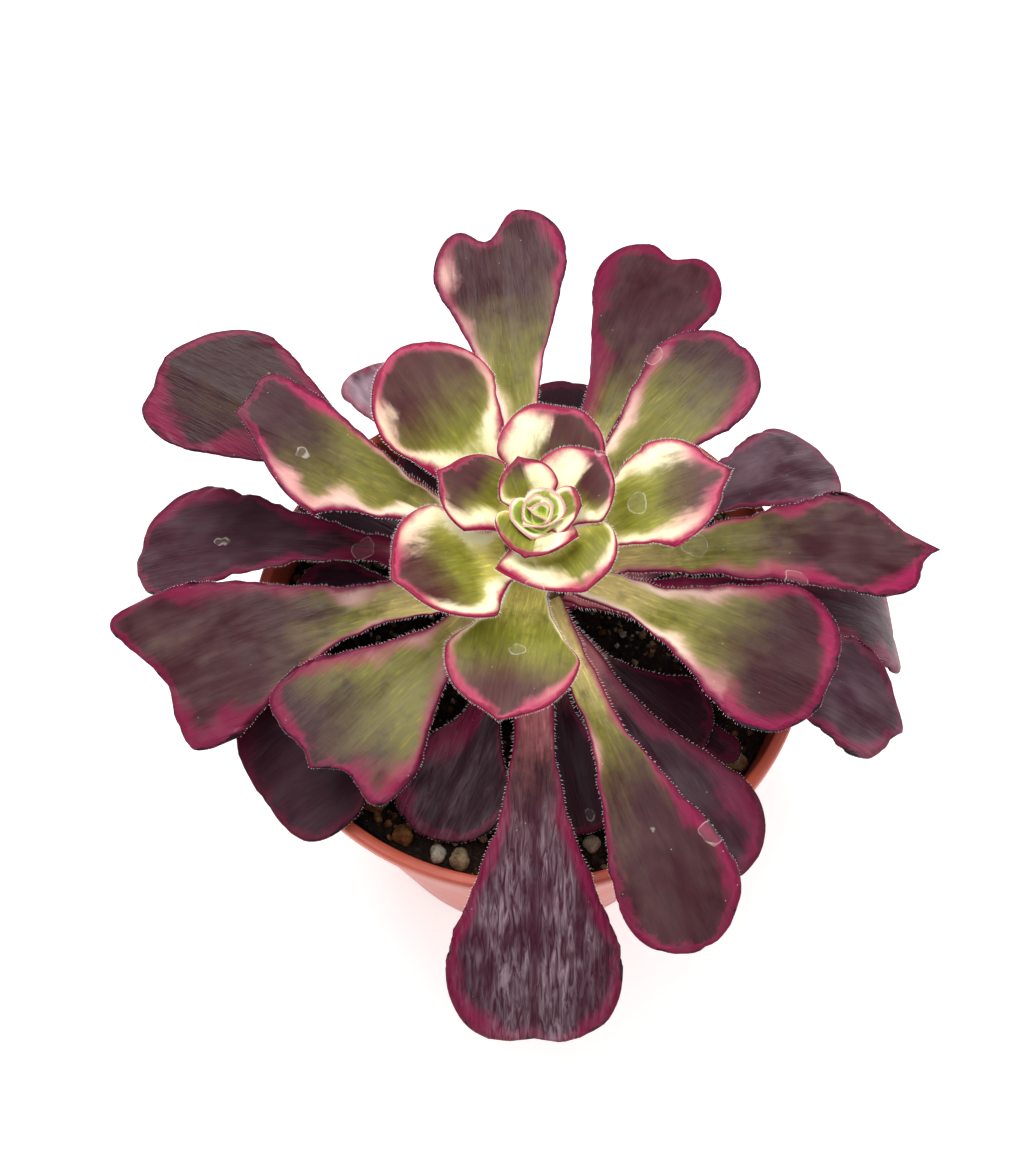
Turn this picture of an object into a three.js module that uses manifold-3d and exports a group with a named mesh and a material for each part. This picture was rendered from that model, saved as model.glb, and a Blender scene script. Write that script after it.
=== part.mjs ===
// A potted aeonium: one rosette of spoon-shaped leaves on a short stem, in gritty soil, in a
// plain tapered nursery pot. Millimetres, +Z up, origin at the centre of the pot's base, and
// azimuth 0 along +X. Every leaf that stands clear is a piece of its own. The tight bud at the
// heart, with the three leaves that wrap it, is one piece called the crown.
import * as THREE from 'three';
import { mergeVertices } from 'three/addons/utils/BufferGeometryUtils.js';
import Module from 'manifold-3d';

const wasm = await Module();
wasm.setup();

// ---- driving dimensions ------------------------------------------------------------------

const GAP = 0.3;                 // clearance between pieces that touch

const POT_HEIGHT = 105;
const RIM_RADIUS = 70;           // outside of the lip
const LIP_HEIGHT = 3.4;
const LIP_OVERHANG = 1.5;
const BASE_RADIUS = 49;
const WALL = 1.7;
const FLOOR = 2.2;
const FOOT_WIDTH = 5;            // the ring that the pot stands on
const HUB_RADIUS = 19;           // the flat disc in the middle of the base
const RECESS = 3;                // how far the ring between them is raised
const DRAIN_COUNT = 6;
const DRAIN_RADIUS = 4;
const POT_SIDES = 48;

const SOIL_TOP = 95.5;
const SOIL_BUMP = 1.1;           // height of the clods on the soil
const SOIL_SIDES = 36;

const STEM_RADIUS = 7.7;
const STEM_DEPTH = 40;           // how far the stem runs down into the soil
const STEM_TOP = 148.5;
const STEM_SHOULDER = 141;       // above this it narrows
const STEM_TIP = 153;            // where its youngest leaf grows
const STEM_LEAN = 2.5 / 54;      // sideways drift towards +X for each mm above the lean's start
const LEAN_START = 96;

const GOLDEN_ANGLE = 137.508;
const FIRST_AZIMUTH = 335;
const FIRST_HEIGHT = 150;
const LEAF_STEP = 1.15;          // each leaf is attached this much below the one before it
const CROWDING = 3.2;            // but the youngest nine sit closer together, this much higher up
const LEAF_EDGE = 0.75;          // thickness at the margin

const COLOURS = {
  pot: 0xc65844,
  soil: 0x2a211c,
  stem: 0x5d4a3a,
  bud: 0x9fb35a,
  inner: 0x77803f,
  middle: 0x7a4a52,
  outer: 0x4f2b3c,
};

const radians = THREE.MathUtils.degToRad;
const lerp = THREE.MathUtils.lerp;
const smooth = (x) => THREE.MathUtils.smoothstep(x, 0, 1);

// ---- solids --------------------------------------------------------------------------------

function piece(name, geometry, color, roughness) {
  const mesh = new THREE.Mesh(
    geometry,
    new THREE.MeshStandardMaterial({ color, roughness, metalness: 0 }),
  );
  mesh.name = name;
  return mesh;
}

function toManifold(geometry) {
  const bare = geometry.clone();
  bare.deleteAttribute('normal');
  bare.deleteAttribute('uv');
  const merged = mergeVertices(bare, 1e-4);
  return new wasm.Manifold(new wasm.Mesh({
    numProp: 3,
    vertProperties: new Float32Array(merged.attributes.position.array),
    triVerts: new Uint32Array(merged.index.array),
  }));
}

function fromManifold(solid) {
  const mesh = solid.getMesh();
  const geometry = new THREE.BufferGeometry();
  geometry.setAttribute('position', new THREE.BufferAttribute(mesh.vertProperties, 3));
  geometry.setIndex(new THREE.BufferAttribute(mesh.triVerts, 1));
  geometry.computeVertexNormals();
  return geometry;
}

// Joining leaves can seal small hollows between them. Only the outer body is kept, so they fill.
function largestBody(solid) {
  const bodies = solid.decompose();
  return bodies.reduce((best, body) => (body.volume() > best.volume() ? body : best));
}

// A solid of revolution about Z. The profile is a list of [radius, height] that starts and
// ends on the axis, from the bottom up the outside.
function turned(profile, sides) {
  const points = profile.map(([radius, height]) => new THREE.Vector2(radius, height));
  return new THREE.LatheGeometry(points, sides).rotateX(Math.PI / 2);
}

// A closed sheet with thickness. face(u, v, side) gives a point for u, v in 0 to 1, on the
// upper side (0) or the lower side (1). Both faces are split along the same diagonals.
function thickSheet(face, rows, columns) {
  const positions = [];
  const triangles = [];
  const at = (row, column, side) => (side * (rows + 1) + row) * (columns + 1) + column;
  for (let side = 0; side < 2; side += 1) {
    for (let row = 0; row <= rows; row += 1) {
      for (let column = 0; column <= columns; column += 1) {
        positions.push(...face(row / rows, column / columns, side).toArray());
      }
    }
  }
  const quad = (a, b, c, d) => triangles.push(a, b, c, a, c, d);
  for (let row = 0; row < rows; row += 1) {
    for (let column = 0; column < columns; column += 1) {
      const corners = (side) => [
        at(row, column, side),
        at(row + 1, column, side),
        at(row + 1, column + 1, side),
        at(row, column + 1, side),
      ];
      const [a, b, c, d] = corners(0);
      const [e, f, g, h] = corners(1);
      triangles.push(a, b, c, a, c, d);
      triangles.push(e, g, f, e, h, g);
    }
  }
  for (let row = 0; row < rows; row += 1) {
    quad(at(row, 0, 0), at(row, 0, 1), at(row + 1, 0, 1), at(row + 1, 0, 0));
    quad(at(row + 1, columns, 0), at(row + 1, columns, 1), at(row, columns, 1), at(row, columns, 0));
  }
  for (let column = 0; column < columns; column += 1) {
    quad(at(0, column + 1, 0), at(0, column + 1, 1), at(0, column, 1), at(0, column, 0));
    quad(at(rows, column, 0), at(rows, column, 1), at(rows, column + 1, 1), at(rows, column + 1, 0));
  }
  const geometry = new THREE.BufferGeometry();
  geometry.setAttribute('position', new THREE.Float32BufferAttribute(positions, 3));
  geometry.setIndex(triangles);
  geometry.computeVertexNormals();
  return geometry;
}

// ---- pot -------------------------------------------------------------------------------------

const INNER_RIM = RIM_RADIUS - LIP_OVERHANG - WALL;
const INNER_BASE = BASE_RADIUS - WALL;
const wallInside = (height) => lerp(INNER_BASE, INNER_RIM, (height - FLOOR) / (POT_HEIGHT - FLOOR));

function makePot() {
  const underLip = POT_HEIGHT - LIP_HEIGHT;
  const foot = BASE_RADIUS - FOOT_WIDTH;
  const profile = [
    [0, 0],
    [HUB_RADIUS, 0],
    [HUB_RADIUS + 1.5, RECESS],
    [foot - 1.5, RECESS],
    [foot, 0],
    [BASE_RADIUS - 1, 0],
    [BASE_RADIUS, 1],
    [wallInside(underLip) + WALL, underLip],
    [RIM_RADIUS - 0.4, underLip],
    [RIM_RADIUS, underLip + 0.5],
    [RIM_RADIUS, POT_HEIGHT - 0.7],
    [RIM_RADIUS - 0.7, POT_HEIGHT],
    [INNER_RIM + 0.5, POT_HEIGHT],
    [INNER_RIM, POT_HEIGHT - 0.5],
    [INNER_BASE, FLOOR],
    [foot - 0.5, FLOOR],
    [foot - 2, FLOOR + RECESS],
    [HUB_RADIUS + 2, FLOOR + RECESS],
    [HUB_RADIUS + 0.5, FLOOR],
    [0, FLOOR],
  ];
  let pot = toManifold(turned(profile, POT_SIDES));
  const ringRadius = (HUB_RADIUS + foot) / 2;
  for (let index = 0; index < DRAIN_COUNT; index += 1) {
    const turn = (index / DRAIN_COUNT) * 2 * Math.PI;
    const drain = new THREE.CylinderGeometry(DRAIN_RADIUS, DRAIN_RADIUS, 4 * RECESS, 10)
      .rotateX(Math.PI / 2)
      .translate(ringRadius * Math.cos(turn), ringRadius * Math.sin(turn), RECESS);
    pot = pot.subtract(toManifold(drain));
  }
  return piece('pot', fromManifold(pot), COLOURS.pot, 0.5);
}

// ---- stem --------------------------------------------------------------------------------------

const lean = (height) => STEM_LEAN * (height - LEAN_START);

// The stem is full width under the rosette and narrows over its topmost leaves.
function stemRadius(height) {
  const narrowing = (height - STEM_SHOULDER) / (STEM_TIP - STEM_SHOULDER);
  return STEM_RADIUS - 5 * THREE.MathUtils.clamp(narrowing, 0, 1);
}

function makeStem() {
  const bottom = SOIL_TOP - STEM_DEPTH;
  const profile = [
    [0, bottom],
    [STEM_RADIUS - 3, bottom],
    [STEM_RADIUS - 1, bottom + 3],
    [STEM_RADIUS - 0.6, SOIL_TOP - 8],
    [STEM_RADIUS, SOIL_TOP + 4],
    [STEM_RADIUS, STEM_SHOULDER],
    [stemRadius(STEM_TOP), STEM_TOP],
    [0, STEM_TOP],
  ];
  const geometry = turned(profile, 20);
  const position = geometry.attributes.position;
  for (let index = 0; index < position.count; index += 1) {
    const height = position.getZ(index);
    position.setX(index, position.getX(index) + Math.max(0, height - LEAN_START) * STEM_LEAN);
  }
  return piece('stem', fromManifold(toManifold(geometry)), COLOURS.stem, 0.85);
}

// ---- leaves --------------------------------------------------------------------------------------

// A leaf runs from t = 0 at the stem to t = 1 at its tip, and from v = -1 to 1 across. Its
// midrib starts at pitch degrees above level and bends by droop degrees on the way, later for a
// larger bend, and swing turns it sideways. Its width grows from neck (a share of the full width)
// after flare. apex rounds the end: 1 is a half circle, less is flatter, and square above 2 fills
// out its corners. point and notch pull the middle of the end out or in, slant makes one corner
// longer, cup raises the margins and wave ruffles them. turn and lift move a leaf off the place
// that the regular spiral gives it.
const LEAF_DEFAULTS = {
  turn: 0,
  length: 60,
  width: 26,
  pitch: 0,
  droop: -20,
  bend: 1.2,
  swing: 0,
  twist: 0,
  neck: 0.24,
  flare: 0.3,
  apex: 0.5,
  square: 2,
  point: 0,
  notch: 0,
  notchAt: 0,
  slant: 0,
  cup: 0.15,
  wave: 0,
  lift: 0,
  rows: 8,
  columns: 6,
};

const MIDRIB_STEPS = 48;
const MIDRIB_REACH = 1.15;

const attachedAt = (index) => FIRST_HEIGHT - LEAF_STEP * index + CROWDING * smooth((9 - index) / 7);

function midribOf(leaf) {
  const height = attachedAt(leaf.index) + leaf.lift;
  const azimuth = radians(FIRST_AZIMUTH + GOLDEN_ANGLE * leaf.index + leaf.turn);
  const pitch = radians(leaf.pitch);
  const overhang = leaf.thick * Math.max(0, Math.sin(-pitch));
  const root = leaf.root ?? stemRadius(height) + GAP + overhang;
  const points = [new THREE.Vector3(
    root * Math.cos(azimuth) + lean(height),
    root * Math.sin(azimuth),
    height,
  )];
  const frames = [];
  for (let step = 0; step <= MIDRIB_STEPS; step += 1) {
    const t = (step / MIDRIB_STEPS) * MIDRIB_REACH;
    const turn = azimuth + radians(leaf.swing * t ** 1.5);
    const slope = pitch + radians(leaf.droop * t ** leaf.bend);
    const along = new THREE.Vector3(
      Math.cos(slope) * Math.cos(turn),
      Math.cos(slope) * Math.sin(turn),
      Math.sin(slope),
    );
    const side = new THREE.Vector3(-Math.sin(turn), Math.cos(turn), 0);
    const up = along.clone().cross(side);
    const roll = radians(leaf.twist * smooth(t));
    const across = side.clone().multiplyScalar(Math.cos(roll)).addScaledVector(up, Math.sin(roll));
    frames.push({ along, across, up: along.clone().cross(across) });
  }
  for (let step = 1; step <= MIDRIB_STEPS; step += 1) {
    const reach = (leaf.length * MIDRIB_REACH) / MIDRIB_STEPS;
    const mean = frames[step - 1].along.clone().add(frames[step].along).multiplyScalar(reach / 2);
    points.push(points[step - 1].clone().add(mean));
  }
  return { points, frames };
}

function leafPoint(leaf, midrib, t, v, side) {
  const bluntness = (leaf.width * leaf.apex) / leaf.length;
  const rounding = Math.min(3, 0.8 / bluntness);
  const end = 1 - (1 - Math.abs(v) ** leaf.square) ** (1 / leaf.square);
  const pull = leaf.point * Math.exp(-((v / 0.22) ** 2))
    - leaf.notch * Math.exp(-(((v - leaf.notchAt) / 0.3) ** 2));
  const s = t - bluntness * t ** rounding * end + pull * t ** 8 + leaf.slant * bluntness * v * t ** 4;

  const halfWidth = (leaf.width / 2) * lerp(leaf.neck, 1, smooth((t - leaf.flare) / (1 - leaf.flare)));
  const x = halfWidth * v;
  const cup = lerp(leaf.cup, leaf.cup * 0.3, t);
  const ruffle = leaf.wave * Math.sin(9 * t + 2 * v + leaf.index) * v * v * t;
  const middle = lerp(leaf.thick, leaf.thick * 0.4, t);
  const depth = side * lerp(middle, LEAF_EDGE, v * v);
  const z = (cup * Math.abs(x) ** 1.5) / Math.sqrt(halfWidth) + ruffle - depth;

  const place = THREE.MathUtils.clamp(s / MIDRIB_REACH, 0, 0.9999) * MIDRIB_STEPS;
  const step = Math.floor(place);
  const part = place - step;
  const { points, frames } = midrib;
  return points[step].clone().lerp(points[step + 1], part)
    .addScaledVector(frames[step].across.clone().lerp(frames[step + 1].across, part), x)
    .addScaledVector(frames[step].up.clone().lerp(frames[step + 1].up, part), z);
}

function leafGeometry(leaf) {
  const midrib = midribOf(leaf);
  const face = (u, w, side) => {
    const t = 1 - (1 - u) ** 1.25;
    const v = Math.sin((w - 0.5) * Math.PI);
    return leafPoint(leaf, midrib, t, v, side);
  };
  return thickSheet(face, leaf.rows, leaf.columns);
}

function describe(index, shape) {
  const length = shape.length ?? LEAF_DEFAULTS.length;
  const thick = Math.min(3, 1.1 + length * 0.03);
  return { ...LEAF_DEFAULTS, thick, index, ...shape };
}

// The three leaves round the bud, from the innermost out. They belong to the crown.
const CROWN_LEAVES = [
  describe(0, { turn: 27, length: 8.5, width: 12, pitch: 60, droop: -30, neck: 0.6, flare: 0, cup: 0.6,
    apex: 0.4, slant: 0.3, rows: 6 }),
  describe(1, { turn: -3, length: 12.5, width: 14, pitch: 54, droop: -25, neck: 0.6, flare: 0, cup: 0.5,
    point: 0.05, rows: 6 }),
  describe(2, { turn: 3, length: 11, width: 19, pitch: 64, droop: -60, neck: 0.6, flare: 0, cup: 0.9,
    apex: 0.5, lift: 1, rows: 6 }),
];

// The free leaves in the order they grew, youngest first.
const LEAVES = [
  describe(3, { turn: 14, length: 18, width: 21, pitch: 47, droop: -28, neck: 0.5, flare: 0, cup: 0.4,
    point: 0.05 }),
  describe(4, { turn: -11, length: 21, width: 20, pitch: 41, droop: -26, neck: 0.45, flare: 0, cup: 0.35,
    point: 0.06 }),
  describe(5, { turn: -6, length: 17, width: 27, pitch: 42, droop: -40, neck: 0.65, flare: 0, cup: 0.55,
    apex: 0.5, lift: 2, slant: 0.15, point: 0.03 }),
  describe(6, { turn: -1, length: 27, width: 25, pitch: 46, droop: -26, neck: 0.45, flare: 0, cup: 0.35,
    notch: 0.04 }),
  describe(7, { turn: -12, length: 30, width: 32, pitch: 36, neck: 0.42, flare: 0, cup: 0.3,
    point: 0.04 }),
  describe(8, { turn: 17, length: 38, width: 27, pitch: 36, neck: 0.4, flare: 0, cup: 0.25, point: 0.06 }),
  describe(9, { turn: -4, length: 49, width: 31, pitch: 41, neck: 0.36, flare: 0, cup: 0.25,
    point: 0.02 }),
  describe(10, { turn: -12, length: 36, width: 30, pitch: 16, droop: -15, neck: 0.32, flare: 0.05,
    cup: 0.2, point: 0.02 }),
  describe(11, { turn: -6, length: 62, width: 28, pitch: 30, neck: 0.3, flare: 0.1, cup: 0.2 }),
  describe(12, { turn: -23, length: 66, width: 28, pitch: 28, swing: -12, neck: 0.28, flare: 0.2,
    square: 2.2, point: 0.05, slant: -0.8 }),
  describe(13, { turn: 10, length: 65, width: 38, pitch: 6, droop: -10, flare: 0.2, apex: 0.4,
    square: 2.4, wave: 0.8, lift: 0.4 }),
  describe(14, { turn: -5, length: 88, width: 34, pitch: 20.5, flare: 0.25, notch: 0.1, notchAt: 0.15,
    slant: -0.2 }),
  describe(15, { turn: -15, length: 61, width: 39, pitch: 3, droop: -15, flare: 0.25, apex: 0.3,
    square: 5, point: 0.05, slant: 0.0, notch: 0.06, notchAt: 0.35 }),
  describe(16, { turn: -10, length: 86, width: 28, pitch: 3.5, neck: 0.3, flare: 0.12, point: 0.06,
    slant: -0.3, wave: 1 }),
  describe(17, { turn: -3.4, length: 99.5, width: 38, pitch: 16.5, notch: 0.03, notchAt: 0.4, slant: 0.12 }),
  describe(18, { turn: -1, length: 88, width: 28, pitch: 8, droop: -35, swing: 8, wave: 0.8 }),
  describe(19, { turn: -1, length: 95, width: 33, pitch: 16, droop: -25, notch: 0.05 }),
  describe(20, { turn: -18.5, length: 91, width: 46, pitch: -3, swing: 11, apex: 0.3, square: 7,
    notch: 0.05, slant: -0.55 }),
  describe(21, { turn: 1, length: 92, width: 30, pitch: -3, droop: -37, point: 0.04, wave: 1.2 }),
  describe(22, { turn: 2, length: 78, width: 18, pitch: 4, droop: -25 }),
  describe(23, { turn: 11, length: 103, width: 40, pitch: 0, droop: -52, bend: 1.6, notch: 0.015,
    square: 2.3 }),
  describe(24, { turn: -4, length: 91, width: 27, pitch: 1, droop: -34 }),
  describe(25, { turn: -10, length: 101, width: 32, pitch: 7, droop: -40, swing: 12 }),
  describe(26, { turn: -5, length: 75, width: 28, pitch: -7, droop: -12 }),
  describe(27, { turn: -8, length: 66, width: 26, pitch: -6, droop: -10 }),
  describe(28, { turn: -11, length: 73, width: 40, pitch: -4, droop: -16, apex: 0.35, square: 3 }),
  describe(29, { turn: 0, length: 103, width: 30, pitch: -2, droop: -72, bend: 2.5, point: 0.04 }),
  describe(30, { turn: 7, length: 62, width: 20, pitch: -4, droop: -8 }),
  describe(31, { turn: 5, length: 50, width: 22, pitch: -10, droop: -8 }),
  describe(32, { length: 62, pitch: -2, droop: -8 }),
  describe(33, { turn: -21, length: 54, width: 22, pitch: -6, droop: -6 }),
  describe(34, { turn: -10, length: 46, width: 24, pitch: -8, droop: -6 }),
  describe(35, { turn: 8, length: 54, pitch: 0, droop: -6 }),
  describe(36, { turn: 0, length: 53, width: 31, pitch: -6, droop: -6 }),
  describe(37, { turn: -3, length: 99, width: 18, pitch: 4.1, droop: -56, bend: 2.8 }),
  describe(39, { turn: -8, length: 36, width: 18, pitch: -2, droop: -8 }),
  describe(40, { length: 52, pitch: 0, droop: -8 }),
  describe(42, { turn: -26, length: 54, width: 8, pitch: 0, droop: -4 }),
];

const twoDigits = (number) => String(number).padStart(2, '0');

function leafColour(index) {
  if (index < 11) return COLOURS.inner;
  return index < 21 ? COLOURS.middle : COLOURS.outer;
}

function makeLeaves() {
  return LEAVES.map((leaf) => piece(
    `leaf_${twoDigits(leaf.index)}`,
    leafGeometry(leaf),
    leafColour(leaf.index),
    0.45,
  ));
}

// ---- crown -----------------------------------------------------------------------------------------

const BUD_LEAVES = 7;
const BUD_BASE = STEM_TOP + GAP;

// The bud is a low dome with small cupped leaves that close over it, each steeper, shorter and
// narrower than the one outside it, and then the three leaves that wrap the whole.
function makeCrown() {
  const dome = turned([
    [0, BUD_BASE],
    [4.1, BUD_BASE],
    [4.1, BUD_BASE + 1.5],
    [3.7, BUD_BASE + 4.4],
    [2.4, BUD_BASE + 6],
    [0, BUD_BASE + 6.8],
  ], 12).translate(lean(BUD_BASE + 4), 0, 0);
  let crown = toManifold(dome);
  for (let index = 1; index <= BUD_LEAVES; index += 1) {
    const share = index / BUD_LEAVES;
    const bud = describe(-index, {
      length: lerp(7.5, 4, share),
      width: lerp(12.5, 4, share),
      pitch: lerp(58, 88, share),
      droop: -10,
      root: lerp(3.2, 0.6, share),
      lift: lerp(-1, -6, share),
      neck: 0.8,
      flare: 0,
      apex: 0.35,
      cup: 0.9,
      thick: 1,
      rows: 3,
      columns: 4,
    });
    crown = crown.add(toManifold(leafGeometry(bud)));
  }
  for (const leaf of CROWN_LEAVES) {
    crown = crown.add(toManifold(leafGeometry(leaf)));
  }
  return piece('crown', fromManifold(largestBody(crown)), COLOURS.bud, 0.4);
}

// ---- soil and stones ---------------------------------------------------------------------------------

// Clods: a few crossing waves of different lengths, so no two places look alike.
function soilHeight(x, y) {
  const broad = Math.sin(0.11 * x + 0.4) * Math.cos(0.13 * y - 0.7);
  const fine = Math.sin(0.31 * x + 0.23 * y) * Math.sin(0.27 * y - 0.19 * x + 1.1);
  return SOIL_TOP + SOIL_BUMP * (0.6 * broad + 0.5 * fine);
}

// Larger grains that lie on the soil: [x, y, radius, flatness, colour].
const STONES = [
  [-46.5, 26.6, 3.4, 0.8, 0x9a8a6c],
  [-40.0, 30.5, 2.6, 0.85, 0x8f8064],
  [-38.0, 23.0, 2.3, 0.9, 0xa08d6a],
  [-38.5, -44.5, 2.9, 0.75, 0x8a6238],
  [-31.5, -52.5, 2.6, 0.8, 0xa8743c],
  [-22.8, -57.5, 2.2, 0.9, 0xd8d2c6],
  [-17.8, -59.0, 2.7, 0.85, 0xb9b4aa],
  [13.9, -55.9, 2.3, 0.8, 0xdcd6c8],
  [49.8, -36.1, 2.6, 0.8, 0x948261],
  [48.9, 24.1, 3.0, 0.8, 0x9a8a6c],
  [22.0, 57.5, 2.7, 0.85, 0xb0a488],
];

function stoneGeometry([x, y, radius, flatness], grow) {
  const geometry = mergeVertices(new THREE.IcosahedronGeometry(1, 1).deleteAttribute('normal')
    .deleteAttribute('uv'));
  const position = geometry.attributes.position;
  const point = new THREE.Vector3();
  for (let index = 0; index < position.count; index += 1) {
    point.fromBufferAttribute(position, index);
    const lump = 1 + 0.13 * Math.sin(3.1 * point.x + x) + 0.11 * Math.sin(3.7 * point.y - 2 * point.z + y);
    point.multiplyScalar(radius * lump + grow);
    position.setXYZ(index, point.x, point.y * 0.88, point.z * flatness);
  }
  return geometry.translate(x, y, soilHeight(x, y) + 0.35 * radius);
}

function makeStones() {
  return STONES.map((stone, index) => piece(
    `stone_${twoDigits(index + 1)}`,
    stoneGeometry(stone, 0),
    stone[4],
    0.9,
  ));
}

function makeSoil() {
  const foot = BASE_RADIUS - FOOT_WIDTH;
  const clear = FLOOR + GAP;
  const top = SOIL_TOP;
  const holeRadius = STEM_RADIUS + GAP;
  const holeFloor = SOIL_TOP - STEM_DEPTH - GAP;
  const profile = [
    [0, clear],
    [HUB_RADIUS + 0.2, clear],
    [HUB_RADIUS + 1.7, clear + RECESS],
    [foot - 1.7, clear + RECESS],
    [foot - 0.2, clear],
    [INNER_BASE - GAP - 0.1, clear],
    [wallInside(top) - GAP - 0.1, top],
    [0.86 * wallInside(top), top],
    [0.72 * wallInside(top), top],
    [0.57 * wallInside(top), top],
    [0.42 * wallInside(top), top],
    [0.28 * wallInside(top), top],
    [holeRadius + 1.5, top],
    [holeRadius, top - 1],
    [holeRadius, holeFloor],
    [0, holeFloor],
  ];
  const geometry = turned(profile, SOIL_SIDES);
  const position = geometry.attributes.position;
  for (let index = 0; index < position.count; index += 1) {
    if (position.getZ(index) > top - 0.5) {
      position.setZ(index, soilHeight(position.getX(index), position.getY(index)));
    }
  }
  let soil = toManifold(geometry);
  for (const stone of STONES) {
    soil = soil.subtract(toManifold(stoneGeometry(stone, GAP)));
  }
  return piece('soil', fromManifold(soil), COLOURS.soil, 1);
}

// ---- the whole ------------------------------------------------------------------------------------------

const aeonium = new THREE.Group();
aeonium.add(makePot(), makeSoil(), makeStem(), makeCrown(), ...makeLeaves(), ...makeStones());

export default aeonium;
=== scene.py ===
"""A potted aeonium: the fine surfaces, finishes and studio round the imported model.

Shapes are worked out in millimetres, in the part's own frame, and put into meshes in metres. The
leaves, stem, pot, soil and stones follow the same formulas as the solids that they stand for.
"""
import math
from functools import reduce
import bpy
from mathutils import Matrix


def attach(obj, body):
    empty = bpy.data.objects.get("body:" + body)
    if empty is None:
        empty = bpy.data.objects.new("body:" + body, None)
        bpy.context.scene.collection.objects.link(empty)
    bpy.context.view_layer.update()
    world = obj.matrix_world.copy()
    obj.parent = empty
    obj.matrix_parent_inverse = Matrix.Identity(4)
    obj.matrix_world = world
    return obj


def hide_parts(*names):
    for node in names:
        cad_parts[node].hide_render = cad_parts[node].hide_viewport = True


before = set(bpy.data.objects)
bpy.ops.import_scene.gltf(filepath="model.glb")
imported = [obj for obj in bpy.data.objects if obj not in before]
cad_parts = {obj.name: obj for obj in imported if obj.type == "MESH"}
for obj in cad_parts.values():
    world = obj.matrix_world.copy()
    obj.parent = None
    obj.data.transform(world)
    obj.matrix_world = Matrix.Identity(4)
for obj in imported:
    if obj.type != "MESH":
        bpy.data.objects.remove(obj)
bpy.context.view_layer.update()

from types import SimpleNamespace

import bmesh
import bpy
import numpy as np
from mathutils import Matrix

MM = 0.001
TURN = 2 * math.pi

# ---- sizes shared with the solids, in millimetres ----

POT_HEIGHT, RIM_RADIUS, BASE_RADIUS = 105.0, 70.0, 49.0
LIP_HEIGHT, LIP_OVERHANG = 3.4, 1.5
WALL, FLOOR, RECESS = 1.7, 2.2, 3.0
FOOT_WIDTH, HUB_RADIUS = 5.0, 19.0
DRAIN_COUNT, DRAIN_RADIUS = 6, 4.0
DRAIN_TURNS = [index * TURN / DRAIN_COUNT for index in range(DRAIN_COUNT)]
INNER_RIM = RIM_RADIUS - LIP_OVERHANG - WALL
INNER_BASE = BASE_RADIUS - WALL

SOIL_TOP, SOIL_BUMP = 95.5, 1.1
STEM_RADIUS, STEM_DEPTH, STEM_TOP = 7.7, 40.0, 148.5
STEM_SHOULDER, STEM_TIP = 141.0, 153.0
STEM_LEAN, LEAN_START = 2.5 / 54, 96.0
GAP = 0.3

GOLDEN_ANGLE, FIRST_AZIMUTH, FIRST_HEIGHT = 137.508, 335.0, 150.0
LEAF_STEP, CROWDING, LEAF_EDGE = 1.15, 3.2, 0.75
BUD_LEAVES, BUD_BASE = 7, STEM_TOP + GAP

# ---- small helpers ----


def lerp(a, b, share):
    return a + (b - a) * share


def smooth(x):
    """0 below 0, 1 above 1 and 3x^2 - 2x^3 between."""
    x = np.clip(x, 0.0, 1.0)
    return x * x * (3 - 2 * x)


def waves(x, seed, count):
    """A sum of count sines of rising pitch and falling height, with seeded phases, near -1 to 1."""
    draw = np.random.default_rng(seed % 1000)
    total = np.zeros_like(x)
    for step in range(count):
        pitch = 1.7 ** step * draw.uniform(0.85, 1.15)
        total += np.sin(pitch * x + draw.uniform(0, TURN)) / (1.45 ** step * 2)
    return total


def stem_drift(height):
    return STEM_LEAN * (height - LEAN_START)


def stem_radius(height):
    narrowing = (height - STEM_SHOULDER) / (STEM_TIP - STEM_SHOULDER)
    return STEM_RADIUS - 5 * np.clip(narrowing, 0, 1)


def wall_inside(height):
    return lerp(INNER_BASE, INNER_RIM, (height - FLOOR) / (POT_HEIGHT - FLOOR))


def soil_height(x, y):
    """Clods: one broad and one finer product of crossing sines on the level of the mix."""
    broad = np.sin(0.11 * x + 0.4) * np.cos(0.13 * y - 0.7)
    fine = np.sin(0.31 * x + 0.23 * y) * np.sin(0.27 * y - 0.19 * x + 1.1)
    return SOIL_TOP + SOIL_BUMP * (0.6 * broad + 0.5 * fine)


# ---- meshes ----


def grid_faces(rows, columns, wrap=False):
    """Quads of a (rows + 1) by (columns + 1) grid of points, or by columns if it wraps round."""
    across = columns if wrap else columns + 1
    row, column = np.meshgrid(np.arange(rows), np.arange(columns), indexing="ij")
    beside = (column + 1) % across
    corners = [row * across + column, row * across + beside,
               (row + 1) * across + beside, (row + 1) * across + column]
    return np.stack(corners, -1).reshape(-1, 4)


def weld(points, faces):
    """Points nearer than a ten-thousandth of a millimetre become one. Faces that this folds flat go."""
    _, first, same = np.unique(np.round(points, 4), axis=0, return_index=True, return_inverse=True)
    faces = same.reshape(-1)[faces]
    whole = (faces[:, 0] != faces[:, 1]) & (faces[:, 1] != faces[:, 2])
    whole &= (faces[:, 2] != faces[:, 3]) & (faces[:, 3] != faces[:, 0])
    pinched = faces[~whole]
    triangles = [list(dict.fromkeys(face)) for face in pinched.tolist()]
    return points[first], faces[whole].tolist() + [face for face in triangles if len(face) == 3], first


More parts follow.
